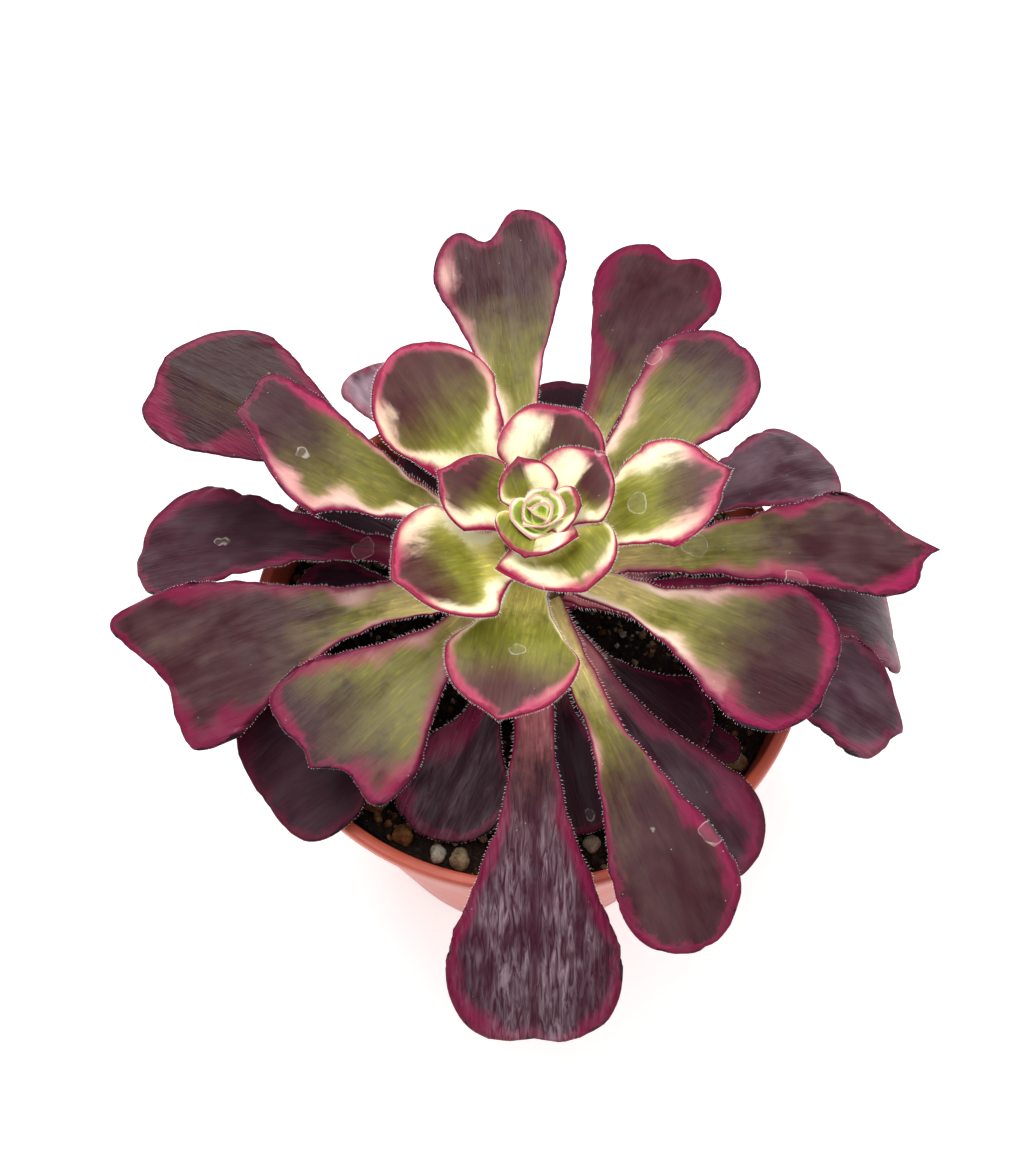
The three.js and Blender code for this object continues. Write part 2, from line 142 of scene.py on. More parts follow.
def make_piece(name, points, faces, material, nodes=(), values=None):
    """A piece on the root body, from points in millimetres and faces, with values on its points."""
    mesh = bpy.data.meshes.new(name)
    mesh.from_pydata((np.asarray(points) * MM).tolist(), [], [list(face) for face in faces])
    for label, value in (values or {}).items():
        value = np.asarray(value, dtype=np.float32)
        if value.ndim == 1:
            mesh.attributes.new(label, "FLOAT", "POINT").data.foreach_set("value", value)
        else:
            mesh.attributes.new(label, "FLOAT_VECTOR", "POINT").data.foreach_set("vector", value.ravel())
    mesh.shade_smooth()
    mesh.materials.append(material)
    mesh.validate()
    piece = bpy.data.objects.new(name, mesh)
    bpy.context.scene.collection.objects.link(piece)
    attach(piece, "root")
    if nodes:
        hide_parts(*nodes)
    return piece


def turn_outwards(piece):
    """Points every face of a closed mesh outwards."""
    mesh = bmesh.new()
    mesh.from_mesh(piece.data)
    bmesh.ops.recalc_face_normals(mesh, faces=mesh.faces)
    mesh.to_mesh(piece.data)
    mesh.free()


def sharpen(piece, degrees):
    """Keeps edges that fold by more than this crisp in a smooth mesh."""
    piece.data.set_sharp_from_angle(angle=math.radians(degrees))


def joined(parts):
    """Several (points, faces, values) as one."""
    points, faces, values, start = [], [], {}, 0
    for some_points, some_faces, some_values in parts:
        points.append(some_points)
        faces += [[corner + start for corner in face] for face in some_faces]
        for label, value in some_values.items():
            values.setdefault(label, []).append(value)
        start += len(some_points)
    return np.concatenate(points), faces, {label: np.concatenate(value) for label, value in values.items()}


def make_joined(name, parts, material, nodes=()):
    """One piece from several (points, faces, values)."""
    points, faces, values = joined(parts)
    return make_piece(name, points, faces, material, nodes, values)


def round_z(radius, angle, height):
    """Points from their distances to the Z axis, angles about it and heights."""
    return np.stack([radius * np.cos(angle), radius * np.sin(angle), height], -1)


def turned(profile, sides):
    """A surface of revolution about Z from (radius, height) points, and its faces."""
    angle = np.arange(sides) * TURN / sides
    points = round_z(profile[:, :1], angle, np.repeat(profile[:, 1:], sides, 1))
    return points.reshape(-1, 3), grid_faces(len(profile) - 1, sides, wrap=True)


def spun(flat, turn):
    """Flat points turned about the origin."""
    return flat @ np.array([[math.cos(turn), math.sin(turn)], [-math.sin(turn), math.cos(turn)]])


def at_place(t, values, places):
    """Rows of values, known at t, worked out at places."""
    return np.stack([np.interp(places, t, column) for column in values.T], -1)


# ---- node helpers ----


class Graph:
    """A node tree with short ways to add nodes. Inputs may be numbers, colours or other sockets. ends
    are the sockets of the shader, or of the group's output, that take the results."""

    def __init__(self, tree, ends):
        self.tree = tree
        self.ends = ends

    def add(self, kind, inputs=None, **settings):
        node = self.tree.nodes.new(kind)
        for label, value in settings.items():
            setattr(node, label, value)
        for key, value in (inputs or {}).items():
            socket = node.inputs[key]
            if isinstance(value, bpy.types.NodeSocket):
                self.tree.links.new(value, socket)
            else:
                socket.default_value = value
        return node

    def put(self, label, result):
        """Sends a result to the end with this label."""
        self.tree.links.new(result, self.ends[label])

    def math(self, operation, *values, clamp=False):
        return self.add("ShaderNodeMath", dict(enumerate(values)), operation=operation,
                        use_clamp=clamp).outputs[0]

    def times(self, *values):
        return reduce(lambda total, value: self.math("MULTIPLY", total, value), values)

    def plus(self, *values):
        return reduce(lambda total, value: self.math("ADD", total, value), values)

    def vector(self, operation, first, second):
        return self.add("ShaderNodeVectorMath", {0: first, 1: second}, operation=operation).outputs[0]

    def mix(self, share, first, second, blend="MIX"):
        return self.add("ShaderNodeMix", {0: share, 6: first, 7: second}, data_type="RGBA",
                        blend_type=blend).outputs[2]

    def layers(self, colour, *coats):
        """A colour with coats laid over it in turn, each given as (share, red, green, blue)."""
        for share, *tone in coats:
            colour = self.mix(share, colour, paint(*tone))
        return colour

    def ramp(self, value, low, high, bottom=0.0, top=1.0):
        """Smoothly from bottom to top as value goes from low to high."""
        return self.add("ShaderNodeMapRange", {0: value, 1: low, 2: high, 3: bottom, 4: top},
                        interpolation_type="SMOOTHSTEP").outputs[0]

    def place(self):
        return self.add("ShaderNodeTexCoord").outputs["Object"]

    def noise(self, vector, scale, detail=2.0, roughness=0.5, distortion=0.0):
        return self.add("ShaderNodeTexNoise", {"Vector": vector, "Scale": scale, "Detail": detail,
                                               "Roughness": roughness, "Distortion": distortion}
                        ).outputs[0]

    def cells(self, vector, scale, randomness=1.0):
        return self.add("ShaderNodeTexVoronoi", {"Vector": vector, "Scale": scale,
                                                 "Randomness": randomness}).outputs

    def combine(self, x, y, z):
        return self.add("ShaderNodeCombineXYZ", {0: x, 1: y, 2: z}).outputs[0]

    def separate(self, vector):
        return self.add("ShaderNodeSeparateXYZ", {0: vector}).outputs

    def attribute(self, name, output="Vector"):
        return self.add("ShaderNodeAttribute", attribute_name=name).outputs[output]

    def group(self, name, values):
        return self.add("ShaderNodeGroup", values, node_tree=bpy.data.node_groups[name]).outputs

    def bump(self, height, strength, distance):
        bump = self.add("ShaderNodeBump", {"Strength": strength, "Distance": distance, "Height": height})
        self.put("Normal", bump.outputs[0])


def paint(red, green, blue):
    """A display colour, each part 0 to 255, as the linear colour that shaders use."""
    def linear(part):
        part /= 255
        return part / 12.92 if part <= 0.04045 else ((part + 0.055) / 1.055) ** 2.4
    return (linear(red), linear(green), linear(blue), 1.0)


def new_group(name, inputs, outputs):
    """An empty shader node group with (name, kind, default) inputs and (name, kind) outputs."""
    kinds = {"value": "NodeSocketFloat", "colour": "NodeSocketColor", "vector": "NodeSocketVector"}
    group = bpy.data.node_groups.new(name, "ShaderNodeTree")
    for label, kind, default in inputs:
        group.interface.new_socket(label, in_out="INPUT", socket_type=kinds[kind]).default_value = default
    for label, kind in outputs:
        group.interface.new_socket(label, in_out="OUTPUT", socket_type=kinds[kind])
    given = group.nodes.new("NodeGroupInput").outputs
    return Graph(group, group.nodes.new("NodeGroupOutput").inputs), given


def new_material(name, constants):
    """A material with one Principled shader, whose constant sockets are set here."""
    material = bpy.data.materials.new(name)
    material.use_nodes = True
    shader = material.node_tree.nodes["Principled BSDF"]
    for label, value in constants.items():
        shader.inputs[label].default_value = value
    return material, Graph(material.node_tree, shader.inputs)


# ---- leaf skin ----


def speckle_group():
    """Small round specks: 1 within a random few cells' centres, 0 elsewhere."""
    graph, given = new_group("specks", [("Vector", "vector", (0, 0, 0)), ("Scale", "value", 1.0),
                                        ("Share", "value", 0.2), ("Size", "value", 0.1)],
                             [("Mask", "value")])
    cells = graph.cells(given["Vector"], given["Scale"])
    chosen = graph.math("LESS_THAN", graph.separate(cells["Color"])[0], given["Share"])
    near = graph.ramp(cells["Distance"], given["Size"], graph.times(given["Size"], 0.5))
    graph.put("Mask", graph.times(chosen, near))


def water_mark_group():
    """Thin irregular rings that dried drops leave: a narrow band of distances round random cells."""
    graph, given = new_group("water_marks", [("Vector", "vector", (0, 0, 0)), ("Scale", "value", 1.0),
                                             ("Share", "value", 0.1)],
                             [("Ring", "value"), ("Inside", "value")])
    wobble = graph.add("ShaderNodeTexNoise", {"Vector": given["Vector"], "Scale": 0.24, "Detail": 1.0})
    centred = graph.vector("SUBTRACT", wobble.outputs[1], (0.5, 0.5, 0.5))
    shift = graph.vector("MULTIPLY", centred, (3, 3, 3))
    cells = graph.cells(graph.vector("ADD", given["Vector"], shift), given["Scale"], 0.8)
    lot = graph.separate(cells["Color"])
    chosen = graph.math("LESS_THAN", lot[0], given["Share"])
    size = graph.math("MULTIPLY_ADD", lot[1], 0.2, 0.12)
    gone = graph.math("SUBTRACT", cells["Distance"], size)
    width = graph.ramp(graph.math("ABSOLUTE", gone), 0.016, 0.004)
    broken = graph.ramp(graph.noise(given["Vector"], 0.5, 1.0), 0.3, 0.55, 0.15, 1)
    graph.put("Ring", graph.times(width, chosen, broken))
    graph.put("Inside", graph.times(graph.ramp(gone, 0.0, -0.02), chosen))


LEAF_TONES = ["Neck", "Green", "Tip", "Cream", "Blush", "Crimson", "Rim", "Underside", "Sheen and bloom"]


def leaf_skin_group():
    """The leaf's pattern, from values on its points. blade holds millimetres across, millimetres along
    (each leaf starts its own count) and the share of the length; tint holds the place in the pale band
    (0 at the margin, 1 at its inner border), how creamy it is and how green the middle is; rim holds
    millimetres from the margin, 1 for the underside and how light the pink is; tone holds the leaf's
    shade, which is partly painted shade, the strength of its painted sheen and how far that painted
    sheen follows the wrinkles. Glow is a faint emission, painted light.
    """
    inputs = [(tone, "colour", (0.5, 0.5, 0.5, 1)) for tone in LEAF_TONES]
    inputs += [("Mark share", "value", 0.1), ("Edge width", "value", 0.5), ("Crimson width", "value", 1.5)]
    graph, given = new_group("leaf_skin", inputs, [("Color", "colour"), ("Roughness", "value"),
                                                   ("Height", "value"), ("Glow", "colour")])
    mix, ramp, times, plus = graph.mix, graph.ramp, graph.times, graph.plus
    across, along, share = graph.separate(graph.attribute("blade"))
    band, cream, green = graph.separate(graph.attribute("tint"))
    margin, under, light = graph.separate(graph.attribute("rim"))
    shade, sheen_strength, wrinkled = graph.separate(graph.attribute("tone"))
    flat = graph.combine(across, along, 0.0)

    def swing(noise, size):
        """From half of size below zero to half of it above."""
        return graph.math("MULTIPLY_ADD", noise, size, -size / 2)

    def lengthwise(sideways, lengthways, detail, distortion=0.0):
        """A noise drawn out along the leaf."""
        place = graph.vector("MULTIPLY", flat, (sideways, lengthways, 0))
        return graph.noise(place, 1.0, detail, 0.6, distortion)

    # From broad patches to fine fibres.
    broad = lengthwise(0.12, 0.055, 2.0, 0.4)
    tongues = lengthwise(0.4, 0.12, 3.0, 0.5)
    streaks = lengthwise(0.8, 0.11, 2.0, 0.4)
    fibres = lengthwise(1.3, 0.17, 4.0, 0.4)
    crepe = lengthwise(0.95, 0.15, 2.5, 1.0)
    mottle = graph.noise(flat, 0.17, 4.0, 0.65)

    # The middle of the leaf: pale at the neck, then green, and dark towards the tip.
    greenness = plus(green, swing(broad, 0.55), swing(mottle, 0.45), swing(streaks, 0.22))
    middle = mix(ramp(greenness, 0.0, 0.95), given["Tip"], given["Green"])
    neck = plus(ramp(share, 0.55, 0.02), swing(mottle, 0.4), swing(streaks, 0.25))
    middle = mix(ramp(neck, 0.12, 0.88), middle, given["Neck"])
    lighter = mix(1.0, middle, (2.0, 1.9, 1.7, 1), "MULTIPLY")
    darker = mix(1.0, middle, (0.45, 0.38, 0.4, 1), "MULTIPLY")
    fibre = times(ramp(fibres, 0.5, 0.72), ramp(mottle, 0.3, 0.6, 0.5, 1), ramp(green, 0.0, 0.8, 0.12, 0.6))
    middle = mix(fibre, middle, lighter)
    middle = mix(ramp(fibres, 0.5, 0.3, 0, 0.35), middle, darker)
    middle = mix(ramp(mottle, 0.5, 0.25, 0, 0.6), middle, darker)

    # The pale band inside the margin, with a ragged inner border that is soft on its green side.
    # Where it isn't creamy it fades over its whole width.
    place = plus(band, times(plus(swing(tongues, 1.3), swing(mottle, 0.9)), ramp(band, 0.2, 1.1)))
    halo = times(cream, ramp(place, 2.2, 1.0, 0, 0.5), ramp(share, 0.8, 0.4))
    middle = mix(halo, middle, given["Neck"])
    warm = mix(times(ramp(place, 0.0, 0.75), light), given["Crimson"], given["Blush"])
    pale = times(cream, ramp(plus(place, swing(mottle, 0.5)), 0.1, 0.55))
    band_tone = mix(pale, warm, given["Cream"])
    band_tone = mix(ramp(fibres, 0.45, 0.75, 0, 0.12), band_tone, given["Crimson"])
    plateau = ramp(cream, 0.0, 0.5, 0, 0.55)
    colour = mix(ramp(place, 1.5, plateau), middle, band_tone)

    # Crimson that soaks in from the margin, wider towards the tip.
    soak = times(given["Crimson width"], ramp(share, 0.25, 0.9, 0.14, 1),
                 ramp(mottle, 0.35, 0.65, 0.45, 1.6), ramp(cream, 0.0, 0.7, 1, 0.4))
    soaked = ramp(margin, soak, times(soak, 0.1))
    pinkish = mix(times(ramp(soaked, 0.85, 0.25), light), given["Crimson"], given["Blush"])
    colour = mix(soaked, colour, pinkish)

    # A painted sheen: a silky highlight painted into the colour on the outer part of the leaf, even or
    # along the wrinkles on both sides of the midrib.
    even = times(graph.math("SUBTRACT", 1.0, wrinkled), ramp(plus(broad, swing(streaks, 0.2)), 0.25, 0.8))
    sideways = graph.math("ABSOLUTE", across)
    creased = times(wrinkled, ramp(crepe, 0.3, 0.85), ramp(sideways, 0.2, 2.0, 0.3, 1.15),
                    ramp(sideways, 9.0, 17.0, 1, 0.35), ramp(broad, 0.34, 0.62, 0.15, 1.3))
    sheen_mask = times(plus(even, creased), ramp(band, 0.2, 1.2, 0.4, 1), ramp(share, 0.35, 0.62, 0.12, 1), sheen_strength)
    colour = mix(sheen_mask, colour, given["Sheen and bloom"])

    # The dark line along the edge of the outer part, which thins and breaks.
    edge = times(given["Edge width"], ramp(tongues, 0.46, 0.7, 0.2, 3.6))
    rim = times(ramp(margin, edge, times(edge, 0.25)), ramp(share, 0.5, 0.85))
    colour = mix(rim, colour, given["Rim"])

    # Dried drops, dust and small scars.
    marks = graph.group("water_marks", {"Vector": flat, "Scale": 0.085, "Share": given["Mark share"]})
    dust = graph.group("specks", {"Vector": flat, "Scale": 0.5, "Share": 0.1, "Size": 0.08})["Mask"]
    scars = graph.group("specks", {"Vector": flat, "Scale": 0.1, "Share": 0.05, "Size": 0.06})["Mask"]
    colour = graph.layers(
        colour, (times(marks["Inside"], 0.07), 200, 190, 180), (times(marks["Ring"], 0.4), 222, 214, 200),
        (times(dust, 0.5), 225, 220, 205), (times(scars, 0.7), 176, 140, 84))

    # The underside is plainer and duller.
    below = mix(ramp(streaks, 0.35, 0.7, 0, 0.5), given["Underside"], given["Sheen and bloom"])
    below = mix(ramp(place, 0.9, 0.2, 0, 0.55), below, given["Crimson"])
    below = mix(ramp(share, 0.35, 0.0, 0, 0.7), below, given["Neck"])
    colour = mix(times(under, ramp(margin, 0.3, 0.9)), colour, below)
    # The shade value darkens the whole leaf; on leaves that lie under others this is painted shade.
    grey = graph.add("ShaderNodeCombineColor", {0: shade, 1: shade, 2: shade}).outputs[0]
    shaded = mix(1.0, colour, grey, "MULTIPLY")
    graph.put("Color", shaded)

    # Painted light: the pale and green parts glow faintly through the emission, standing in for the light
    # that thin leaves let through in bright light.
    glow = plus(times(cream, ramp(place, 1.5, 0.6)), times(ramp(neck, 0.0, 0.9), 0.9))
    glow = graph.math("ADD", glow, times(ramp(greenness, 0.1, 0.9), 0.45), clamp=True)
    glow = times(glow, graph.math("SUBTRACT", 1.0, under), shade)
    graph.put("Glow", mix(glow, (0, 0, 0, 1), shaded))
    graph.put("Roughness", plus(ramp(fibres, 0.3, 0.7, 0.34, 0.46), ramp(mottle, 0.3, 0.7, 0, 0.1),
                                times(under, 0.15)))
    wrinkles = times(crepe, graph.math("MULTIPLY_ADD", wrinkled, 1.6, 0.25))
    graph.put("Height", plus(times(fibres, 0.2), times(streaks, 0.7), wrinkles, times(marks["Ring"], 0.1)))


def leaf_material(name, tones, marks, edge, crimson, shine, bump):
    """A leaf finish: its nine tones, the share of water marks, the widths of the dark edge and of the
    crimson in millimetres, the strength of the shine and of the bump."""
    # The emission shows the skin's Glow: painted light, standing in for light that passes through the leaf.
    material, graph = new_material(name, {"Specular IOR Level": shine, "Coat Weight": 0.04,
                                          "Coat Roughness": 0.2, "Emission Strength": 0.2})
    values = {label: paint(*tone) for label, tone in zip(LEAF_TONES, tones)}
    values.update({"Mark share": marks, "Edge width": edge, "Crimson width": crimson})
    skin = graph.group("leaf_skin", values)
    graph.put("Base Color", skin["Color"])
    graph.put("Emission Color", skin["Glow"])
    graph.put("Roughness", skin["Roughness"])
    graph.bump(skin["Height"], bump, 0.0004)
    return material


# ---- other finishes ----


def hair_material():
    """Hairs are pinkish where they leave the margin and white at their ends."""
    # A white emission makes the hairs glow: painted light, standing in for light that passes through them.
    material, graph = new_material("hair", {"Roughness": 0.5, "Specular IOR Level": 0.3,
                                            "Emission Color": (1.0, 0.95, 0.93, 1),
                                            "Emission Strength": 0.6})
    reach = graph.ramp(graph.attribute("reach", "Fac"), 0.0, 0.6)
    graph.put("Base Color", graph.layers(paint(176, 70, 104), (reach, 255, 250, 246)))
    return material


def pot_material():
    """Moulded plastic: faint flow lines round the wall, a fine grain, scuffs and a little dried lime."""
    material, graph = new_material("moulded_plastic", {"Specular IOR Level": 0.45})
    ramp = graph.ramp
    place = graph.place()
    height = graph.separate(place)[2]
    flow = graph.noise(graph.vector("MULTIPLY", place, (12, 12, 900)), 1.0, 2.0)
    cloud = graph.noise(place, 55.0, 4.0, 0.6)
    grain = graph.noise(place, 2600.0, 1.0)
    scuff = graph.noise(graph.vector("MULTIPLY", place, (300, 300, 1500)), 1.0, 3.0, 0.7)
    lime = graph.noise(place, 120.0, 5.0, 0.7)
    lime = graph.times(ramp(lime, 0.56, 0.75), ramp(height, 0.05, 0.0, 0, 0.4))
    graph.put("Base Color", graph.layers(
        paint(196, 84, 62), (ramp(cloud, 0.3, 0.75), 208, 99, 78),
        (ramp(flow, 0.45, 0.8, 0, 0.25), 182, 72, 52), (lime, 226, 190, 174),
        (ramp(scuff, 0.68, 0.8, 0, 0.3), 224, 134, 112)))
    graph.put("Roughness", graph.plus(ramp(cloud, 0.3, 0.7, 0.3, 0.42), ramp(scuff, 0.6, 0.8, 0, 0.2)))
    graph.bump(graph.plus(graph.times(flow, 0.6), graph.times(grain, 0.3)), 0.35, 0.00015)
    return material


def soil_material():
    """Damp dark crumbs, some of them brown, with a few paler ones between them."""
    material, graph = new_material("potting_mix", {"Specular IOR Level": 0.25})
    ramp = graph.ramp
    place = graph.place()
    crumbs = graph.cells(place, 900.0)
    fine = graph.noise(place, 1700.0, 4.0, 0.7)
    broad = graph.noise(place, 150.0, 3.0)
    tint = graph.separate(crumbs["Color"])[0]
    graph.put("Base Color", graph.layers(
        paint(20, 14, 11), (ramp(broad, 0.35, 0.7), 44, 31, 24),
        (ramp(tint, 0.55, 0.95, 0, 0.7), 66, 45, 31), (ramp(tint, 0.96, 0.97, 0, 0.8), 128, 104, 74),
        (ramp(fine, 0.55, 0.8, 0, 0.5), 12, 9, 7)))
    graph.put("Roughness", ramp(fine, 0.3, 0.7, 0.7, 0.98))
    graph.bump(graph.plus(graph.times(crumbs["Distance"], -1.0), graph.times(fine, 0.8)), 0.9, 0.0006)
    return material


def grit_material():
    """Grains and stones. lot picks each one's kind: bark, brown pumice, tan pumice or pale pebble."""
    material, graph = new_material("grit", {"Specular IOR Level": 0.3})
    place = graph.place()
    kinds = graph.add("ShaderNodeValToRGB", {0: graph.attribute("lot", "Fac")})
    tones = [(0.0, (28, 19, 14)), (0.3, (52, 34, 23)), (0.5, (134, 88, 46)), (0.65, (158, 134, 98)),
             (0.82, (176, 156, 122)), (1.0, (214, 208, 196))]
    stops = kinds.color_ramp.elements
    for index, (at, tone) in enumerate(tones):
        stop = stops[index] if index < 2 else stops.new(at)
        stop.position = at
        stop.color = paint(*tone)
    pores = graph.cells(place, 1900.0)["Distance"]
    cloud = graph.noise(place, 420.0, 4.0, 0.65)
    fine = graph.noise(place, 2800.0, 3.0, 0.7)
    stained = graph.mix(1.0, kinds.outputs[0], paint(150, 112, 78), "MULTIPLY")
    colour = graph.mix(graph.ramp(cloud, 0.4, 0.7, 0, 0.75), kinds.outputs[0], stained)
    # The pores are darkened as well as sunk by the bump: painted shade in the pits.
    graph.put("Base Color", graph.layers(colour, (graph.ramp(pores, 0.28, 0.1, 0, 0.5), 58, 42, 30)))
    graph.put("Roughness", graph.ramp(fine, 0.3, 0.7, 0.75, 0.98))
    graph.bump(graph.plus(graph.ramp(pores, 0.05, 0.3), fine), 0.8, 0.0003)
    return material


def bark_material():
    """Grey-brown bark with lengthwise cracks, pale leaf scars, and green at its young top."""
    material, graph = new_material("bark", {"Specular IOR Level": 0.25})
    ramp = graph.ramp
    place = graph.place()
    cracks = graph.noise(graph.vector("MULTIPLY", place, (900, 900, 160)), 1.0, 4.0, 0.65)
    cloud = graph.noise(place, 260.0, 3.0)
    scar, height = graph.attribute("scar", "Fac"), graph.separate(place)[2]
    # The cracks are darkened as well as sunk by the bump: painted shade in the grooves.
    graph.put("Base Color", graph.layers(
        paint(92, 70, 52), (ramp(cloud, 0.3, 0.7), 134, 112, 88),
        (ramp(cracks, 0.5, 0.3, 0, 0.75), 48, 34, 26), (ramp(scar, 0.3, 1.0, 0, 0.7), 150, 122, 92),
        (ramp(height, 0.128, 0.15, 0, 0.75), 128, 128, 72)))
    graph.put("Roughness", ramp(cracks, 0.3, 0.7, 0.95, 0.7))
    graph.bump(cracks, 0.8, 0.0005)
    return material


speckle_group()
water_mark_group()
leaf_skin_group()

LEAF_FINISH = {
    "bud": leaf_material("bud_leaf", [
        (222, 226, 132), (166, 184, 60), (136, 136, 58), (248, 250, 212), (248, 220, 200), (222, 150, 150),
        (214, 160, 160), (150, 150, 96), (200, 205, 160)], 0.0, 0.2, 0.3, 0.25, 0.3),
    "inner": leaf_material("young_leaf", [
        (216, 206, 112), (124, 124, 38), (78, 34, 36), (255, 252, 206), (238, 88, 134), (142, 3, 56),
        (110, 4, 46), (128, 104, 92), (168, 150, 132)], 0.22, 0.2, 1.9, 0.2, 0.6),
    "middle": leaf_material("grown_leaf", [
        (212, 192, 126), (116, 112, 44), (58, 19, 28), (254, 236, 208), (222, 44, 114), (106, 2, 50),
        (24, 8, 28), (90, 62, 74), (150, 124, 126)], 0.2, 0.35, 2.6, 0.17, 0.9),
    "outer": leaf_material("old_leaf", [
        (196, 118, 124), (84, 44, 38), (56, 12, 32), (240, 190, 190), (184, 36, 98), (98, 2, 44),
        (18, 6, 24), (74, 46, 62), (192, 168, 180)], 0.18, 0.35, 3.0, 0.17, 1.0),
}
HAIR = hair_material()

# ---- leaves ----

# The same leaves as the solids. Each is given by its place in the spiral, the turn off that place in
# degrees, length and width in millimetres and the pitch at its foot in degrees. lift moves it along
# the stem, root is how far from the stem's axis it starts and thick its thickness there. droop, bend
# and swing shape its midrib; neck, flare, apex, square, point, notch, notchAt, hollow (the notch's
# width) and slant shape its outline; cup and wave lift its margins. The rest is finer. mucro is the
# length of the sharp point at the tip, ripple the size of the margin's small waves and crepe that of
# the wrinkles. band is the width in millimetres of the pale band on the left and right, each at four
# places from neck to tip, and tip its width at the tip's middle. cream is how creamy each side is at
# the base and at the tip, green how far the green reaches as a share of the length, and blush how
# light the pink is. shade darkens or lightens a leaf; where it darkens leaves that lie under or
# behind others it is painted shade. sheen is the strength of its painted sheen, a silky highlight
# painted into the colour, and wrinkled how far that painted sheen follows the wrinkles.
LEAF_DEFAULTS = dict(
    droop=-20, bend=1.2, swing=0, lift=0, root=None, thick=None, neck=0.24, flare=0.3, apex=0.5, square=2,
    point=0, notch=0, notchAt=0, hollow=0.3, slant=0, mucro=0, cup=0.15, wave=0, ripple=0.3, crepe=0,
    band=((0, 0.4, 1, 1.2), (0, 0.4, 1, 1.2)), tip=0.6, cream=((0, 0), (0, 0)), green=0.3, blush=0.4,
    shade=1, sheen=0.12, wrinkled=0)


def describe(index, turn, length, width, pitch, **finer):
    """A leaf's values, with LEAF_DEFAULTS for those that aren't given."""
    leaf = SimpleNamespace(index=index, turn=turn, length=length, width=width, pitch=pitch,
                           **{**LEAF_DEFAULTS, **finer})
    if leaf.thick is None:
        leaf.thick = min(3.0, 1.1 + length * 0.03)
    return leaf


CROWN_LEAVES = [
    describe(0, 27, 8.5, 12, 60, droop=-30, neck=0.6, flare=0, apex=0.4, slant=0.3, mucro=0.4, cup=0.6,
             ripple=0.1, band=((1, 1.6, 1.4, 1.2), (1.5, 2.4, 1.8, 1.2)), cream=((1, 0.7), (1, 0.9)),
             green=1.1, blush=0.9),
    describe(1, -3, 12.5, 14, 54, droop=-25, neck=0.6, flare=0, point=0.05, mucro=0.4, cup=0.5, ripple=0.1,
             band=((1.2, 1.4, 1.2, 1), (3, 4.2, 3.4, 1.6)), cream=((1, 0.4), (1, 0.8)), green=0.75,
             blush=0.9),
    describe(2, 3, 11, 19, 64, droop=-60, lift=1, neck=0.6, flare=0, mucro=0.6, cup=0.9, ripple=0.1,
             band=((3.4, 4, 2.6, 1.2), (2, 2.4, 1.8, 1.2)), cream=((1, 0.9), (1, 0.6)), green=0.95,
             blush=0.9),
]

